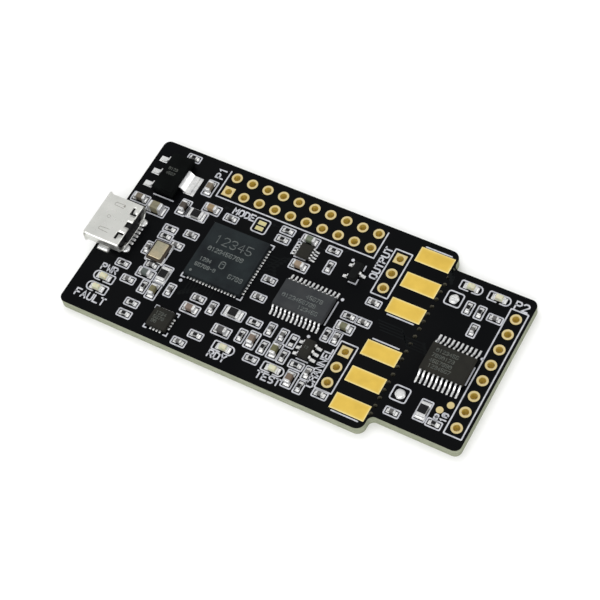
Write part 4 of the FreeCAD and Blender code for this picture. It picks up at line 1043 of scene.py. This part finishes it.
def covered_tracks():
    """Copper tracks that show through the mask as a low relief: straight runs with corners at 45 degrees,
    each ending in a small covered via. They fan out from the controller's right and lower sides, drop from
    the header's pins, and run to the target section in two groups."""
    low, high = edges("controller_body")[:, :2]
    paths = []
    for k in range(9):
        leave, run = np.array([high[0] + 0.3, high[1] - 1.2 - 0.5 * k]), 0.55 + 0.3 * abs(k - 4)
        paths.append(leave + [(0, 0), (run, 0), (run + 0.5, 0.5), (run + 1.1, 0.5)])
        leave = np.array([low[0] + 1.3 + 0.5 * k, low[1] - 0.3])
        paths.append(leave - [(0, 0), (0, run), (0.4, run + 0.4), (0.4, run + 0.8)])
    for k in range(1, 9):
        leave, drop = FIRST_PIN + (PITCH * k, -0.75), 0.9 + 0.22 * (k % 4)
        paths.append(leave - [(0, 0), (0, drop), (0.6, drop + 0.6), (1.4, drop + 0.6)])
    for k in range(4):
        leave = np.array([BREAK_LINE - 5.6 + 0.3 * k, 0.9 - 0.42 * k])
        paths.append(leave + [(0, 0), (3.6, 0), (4.4, -0.8), (7.2, -0.8)])
        paths.append(leave + (1.5, 12.4) + [(0, 0), (3.0, 0), (3.9, -0.9), (3.9, -1.9)])
    runs = [strip(path, TRACK_WIDTH, BOARD_TOP, TRACK_THICK) for path in paths]
    vias = [disc(path[-1], VIA_RADIUS, BOARD_TOP, VIA_THICK) for path in paths]
    piece("covered_tracks", together(runs + vias), COVERED_COPPER, smooth=False)


def print_piece():
    """Everything that is printed white on the board, as one piece."""
    lines = part_outlines() + diode_outlines() + header_frames() + loose_lines() + small_frames() + words()
    lines += corner_marks("controller_body", 0.3, 0.6) + corner_marks("clock_chip_body", 0.35, 0.45)
    piece("white_print", together(lines), INK, smooth=False)


covered_tracks()
print_piece()
mark_pieces()
shell_marks()


def test_domes():
    """Drops of solder on the two test points, standing on a low wetted skirt."""
    boxes = solids("test_point_domes")
    centres = middles(boxes)[:, :2]
    high = boxes[0, 1, 2] - BOARD_TOP
    skirt = domes(centres, np.array([0.8, 0.78]), BOARD_TOP, 0.1, 0.16)
    drop = domes(centres + (0.03, 0.02), np.array([0.66, 0.66]), BOARD_TOP + 0.02, high - 0.03, 0.08)
    piece("test_point_drops", together([skirt, drop]), TIN, stands_for=("test_point_domes",))


test_domes()

# ---- camera, light and floor

VIEW_AZIMUTH, VIEW_ELEVATION, VIEW_ROLL = 40.04, 58.27, 13.08
VIEW_LENS = 102.73
VIEW_PLACE = Vector((0.080185, -0.0945825, 0.19964))


def make_camera():
    """A camera at the stated azimuth and elevation, turned by the roll about its own line of sight."""
    a, e, r = (math.radians(angle) for angle in (VIEW_AZIMUTH, VIEW_ELEVATION, VIEW_ROLL))
    back = Vector((math.sin(a) * math.cos(e), -math.cos(a) * math.cos(e), math.sin(e)))
    level = (-back).cross(Vector((0, 0, 1))).normalized()
    down = (-back).cross(level).normalized()
    right = level * math.cos(r) + down * math.sin(r)
    up = back.cross(right)
    data = bpy.data.cameras.new("camera")
    data.lens = VIEW_LENS
    data.clip_start = 0.01
    camera = bpy.data.objects.new("camera", data)
    turned = Matrix((right, up, back)).transposed().to_4x4()
    camera.matrix_world = Matrix.Translation(VIEW_PLACE) @ turned
    bpy.context.scene.collection.objects.link(camera)
    bpy.context.scene.camera = camera


def make_lamp(name, direction, distance, size, power, lights="both"):
    """A square soft box that faces the middle of the board from a direction; it may light only dull
    surfaces, or only show as a gleam in glossy ones."""
    data = bpy.data.lights.new(name, "AREA")
    data.size = size
    data.energy = power
    lamp = bpy.data.objects.new(name, data)
    lamp.visible_diffuse = lights != "gleam"
    lamp.visible_glossy = lights != "dull"
    back = Vector(direction).normalized()
    turned = back.to_track_quat("Z", "Y").to_matrix().to_4x4()
    lamp.matrix_world = Matrix.Translation(back * distance) @ turned
    bpy.context.scene.collection.objects.link(lamp)


FLOOR_REACH = 3000.0


def make_floor():
    """A pale floor, very slightly uneven in tone, at the board's underside."""
    corners = np.array([(-1, -1, 0), (1, -1, 0), (1, 1, 0), (-1, 1, 0)]) * FLOOR_REACH * MM
    mesh = bpy.data.meshes.new("floor")
    mesh.from_pydata(corners.tolist(), [], [[0, 1, 2, 3]])
    mesh.materials.append(finish("pale_floor", (0.95, 0.95, 0.95, 1), (0.98, 0.98, 0.98, 1), 3.0, 1.5,
                                 (0.85, 0.95), (400.0, 1e-5), Specular_IOR_Level=0.1))
    floor = bpy.data.objects.new("floor", mesh)
    bpy.context.scene.collection.objects.link(floor)


SURROUND_STRENGTH = 0.84


def make_light():
    """An even pale surround, broad soft boxes before and behind, and two low white cards that only gleam."""
    world = bpy.data.worlds.new("surround")
    world.use_nodes = True
    surround = world.node_tree.nodes["Background"]
    surround.inputs["Color"].default_value = (1.0, 1.0, 1.0, 1)
    surround.inputs["Strength"].default_value = SURROUND_STRENGTH
    bpy.context.scene.world = world
    make_lamp("front_box", (0.3, -0.8, 0.75), 0.9, 0.6, 2.6)
    make_lamp("rear_box", (-0.5, 0.4, 1.0), 0.9, 0.6, 1.9, "dull")
    make_lamp("front_card", (-0.34, -0.83, 0.42), 0.6, 0.3, 1.2, "gleam")
    make_lamp("side_card", (0.83, 0.35, 0.38), 0.6, 0.3, 0.7, "gleam")
    bpy.context.scene.view_settings.view_transform = "Standard"


make_camera()
make_light()
make_floor()
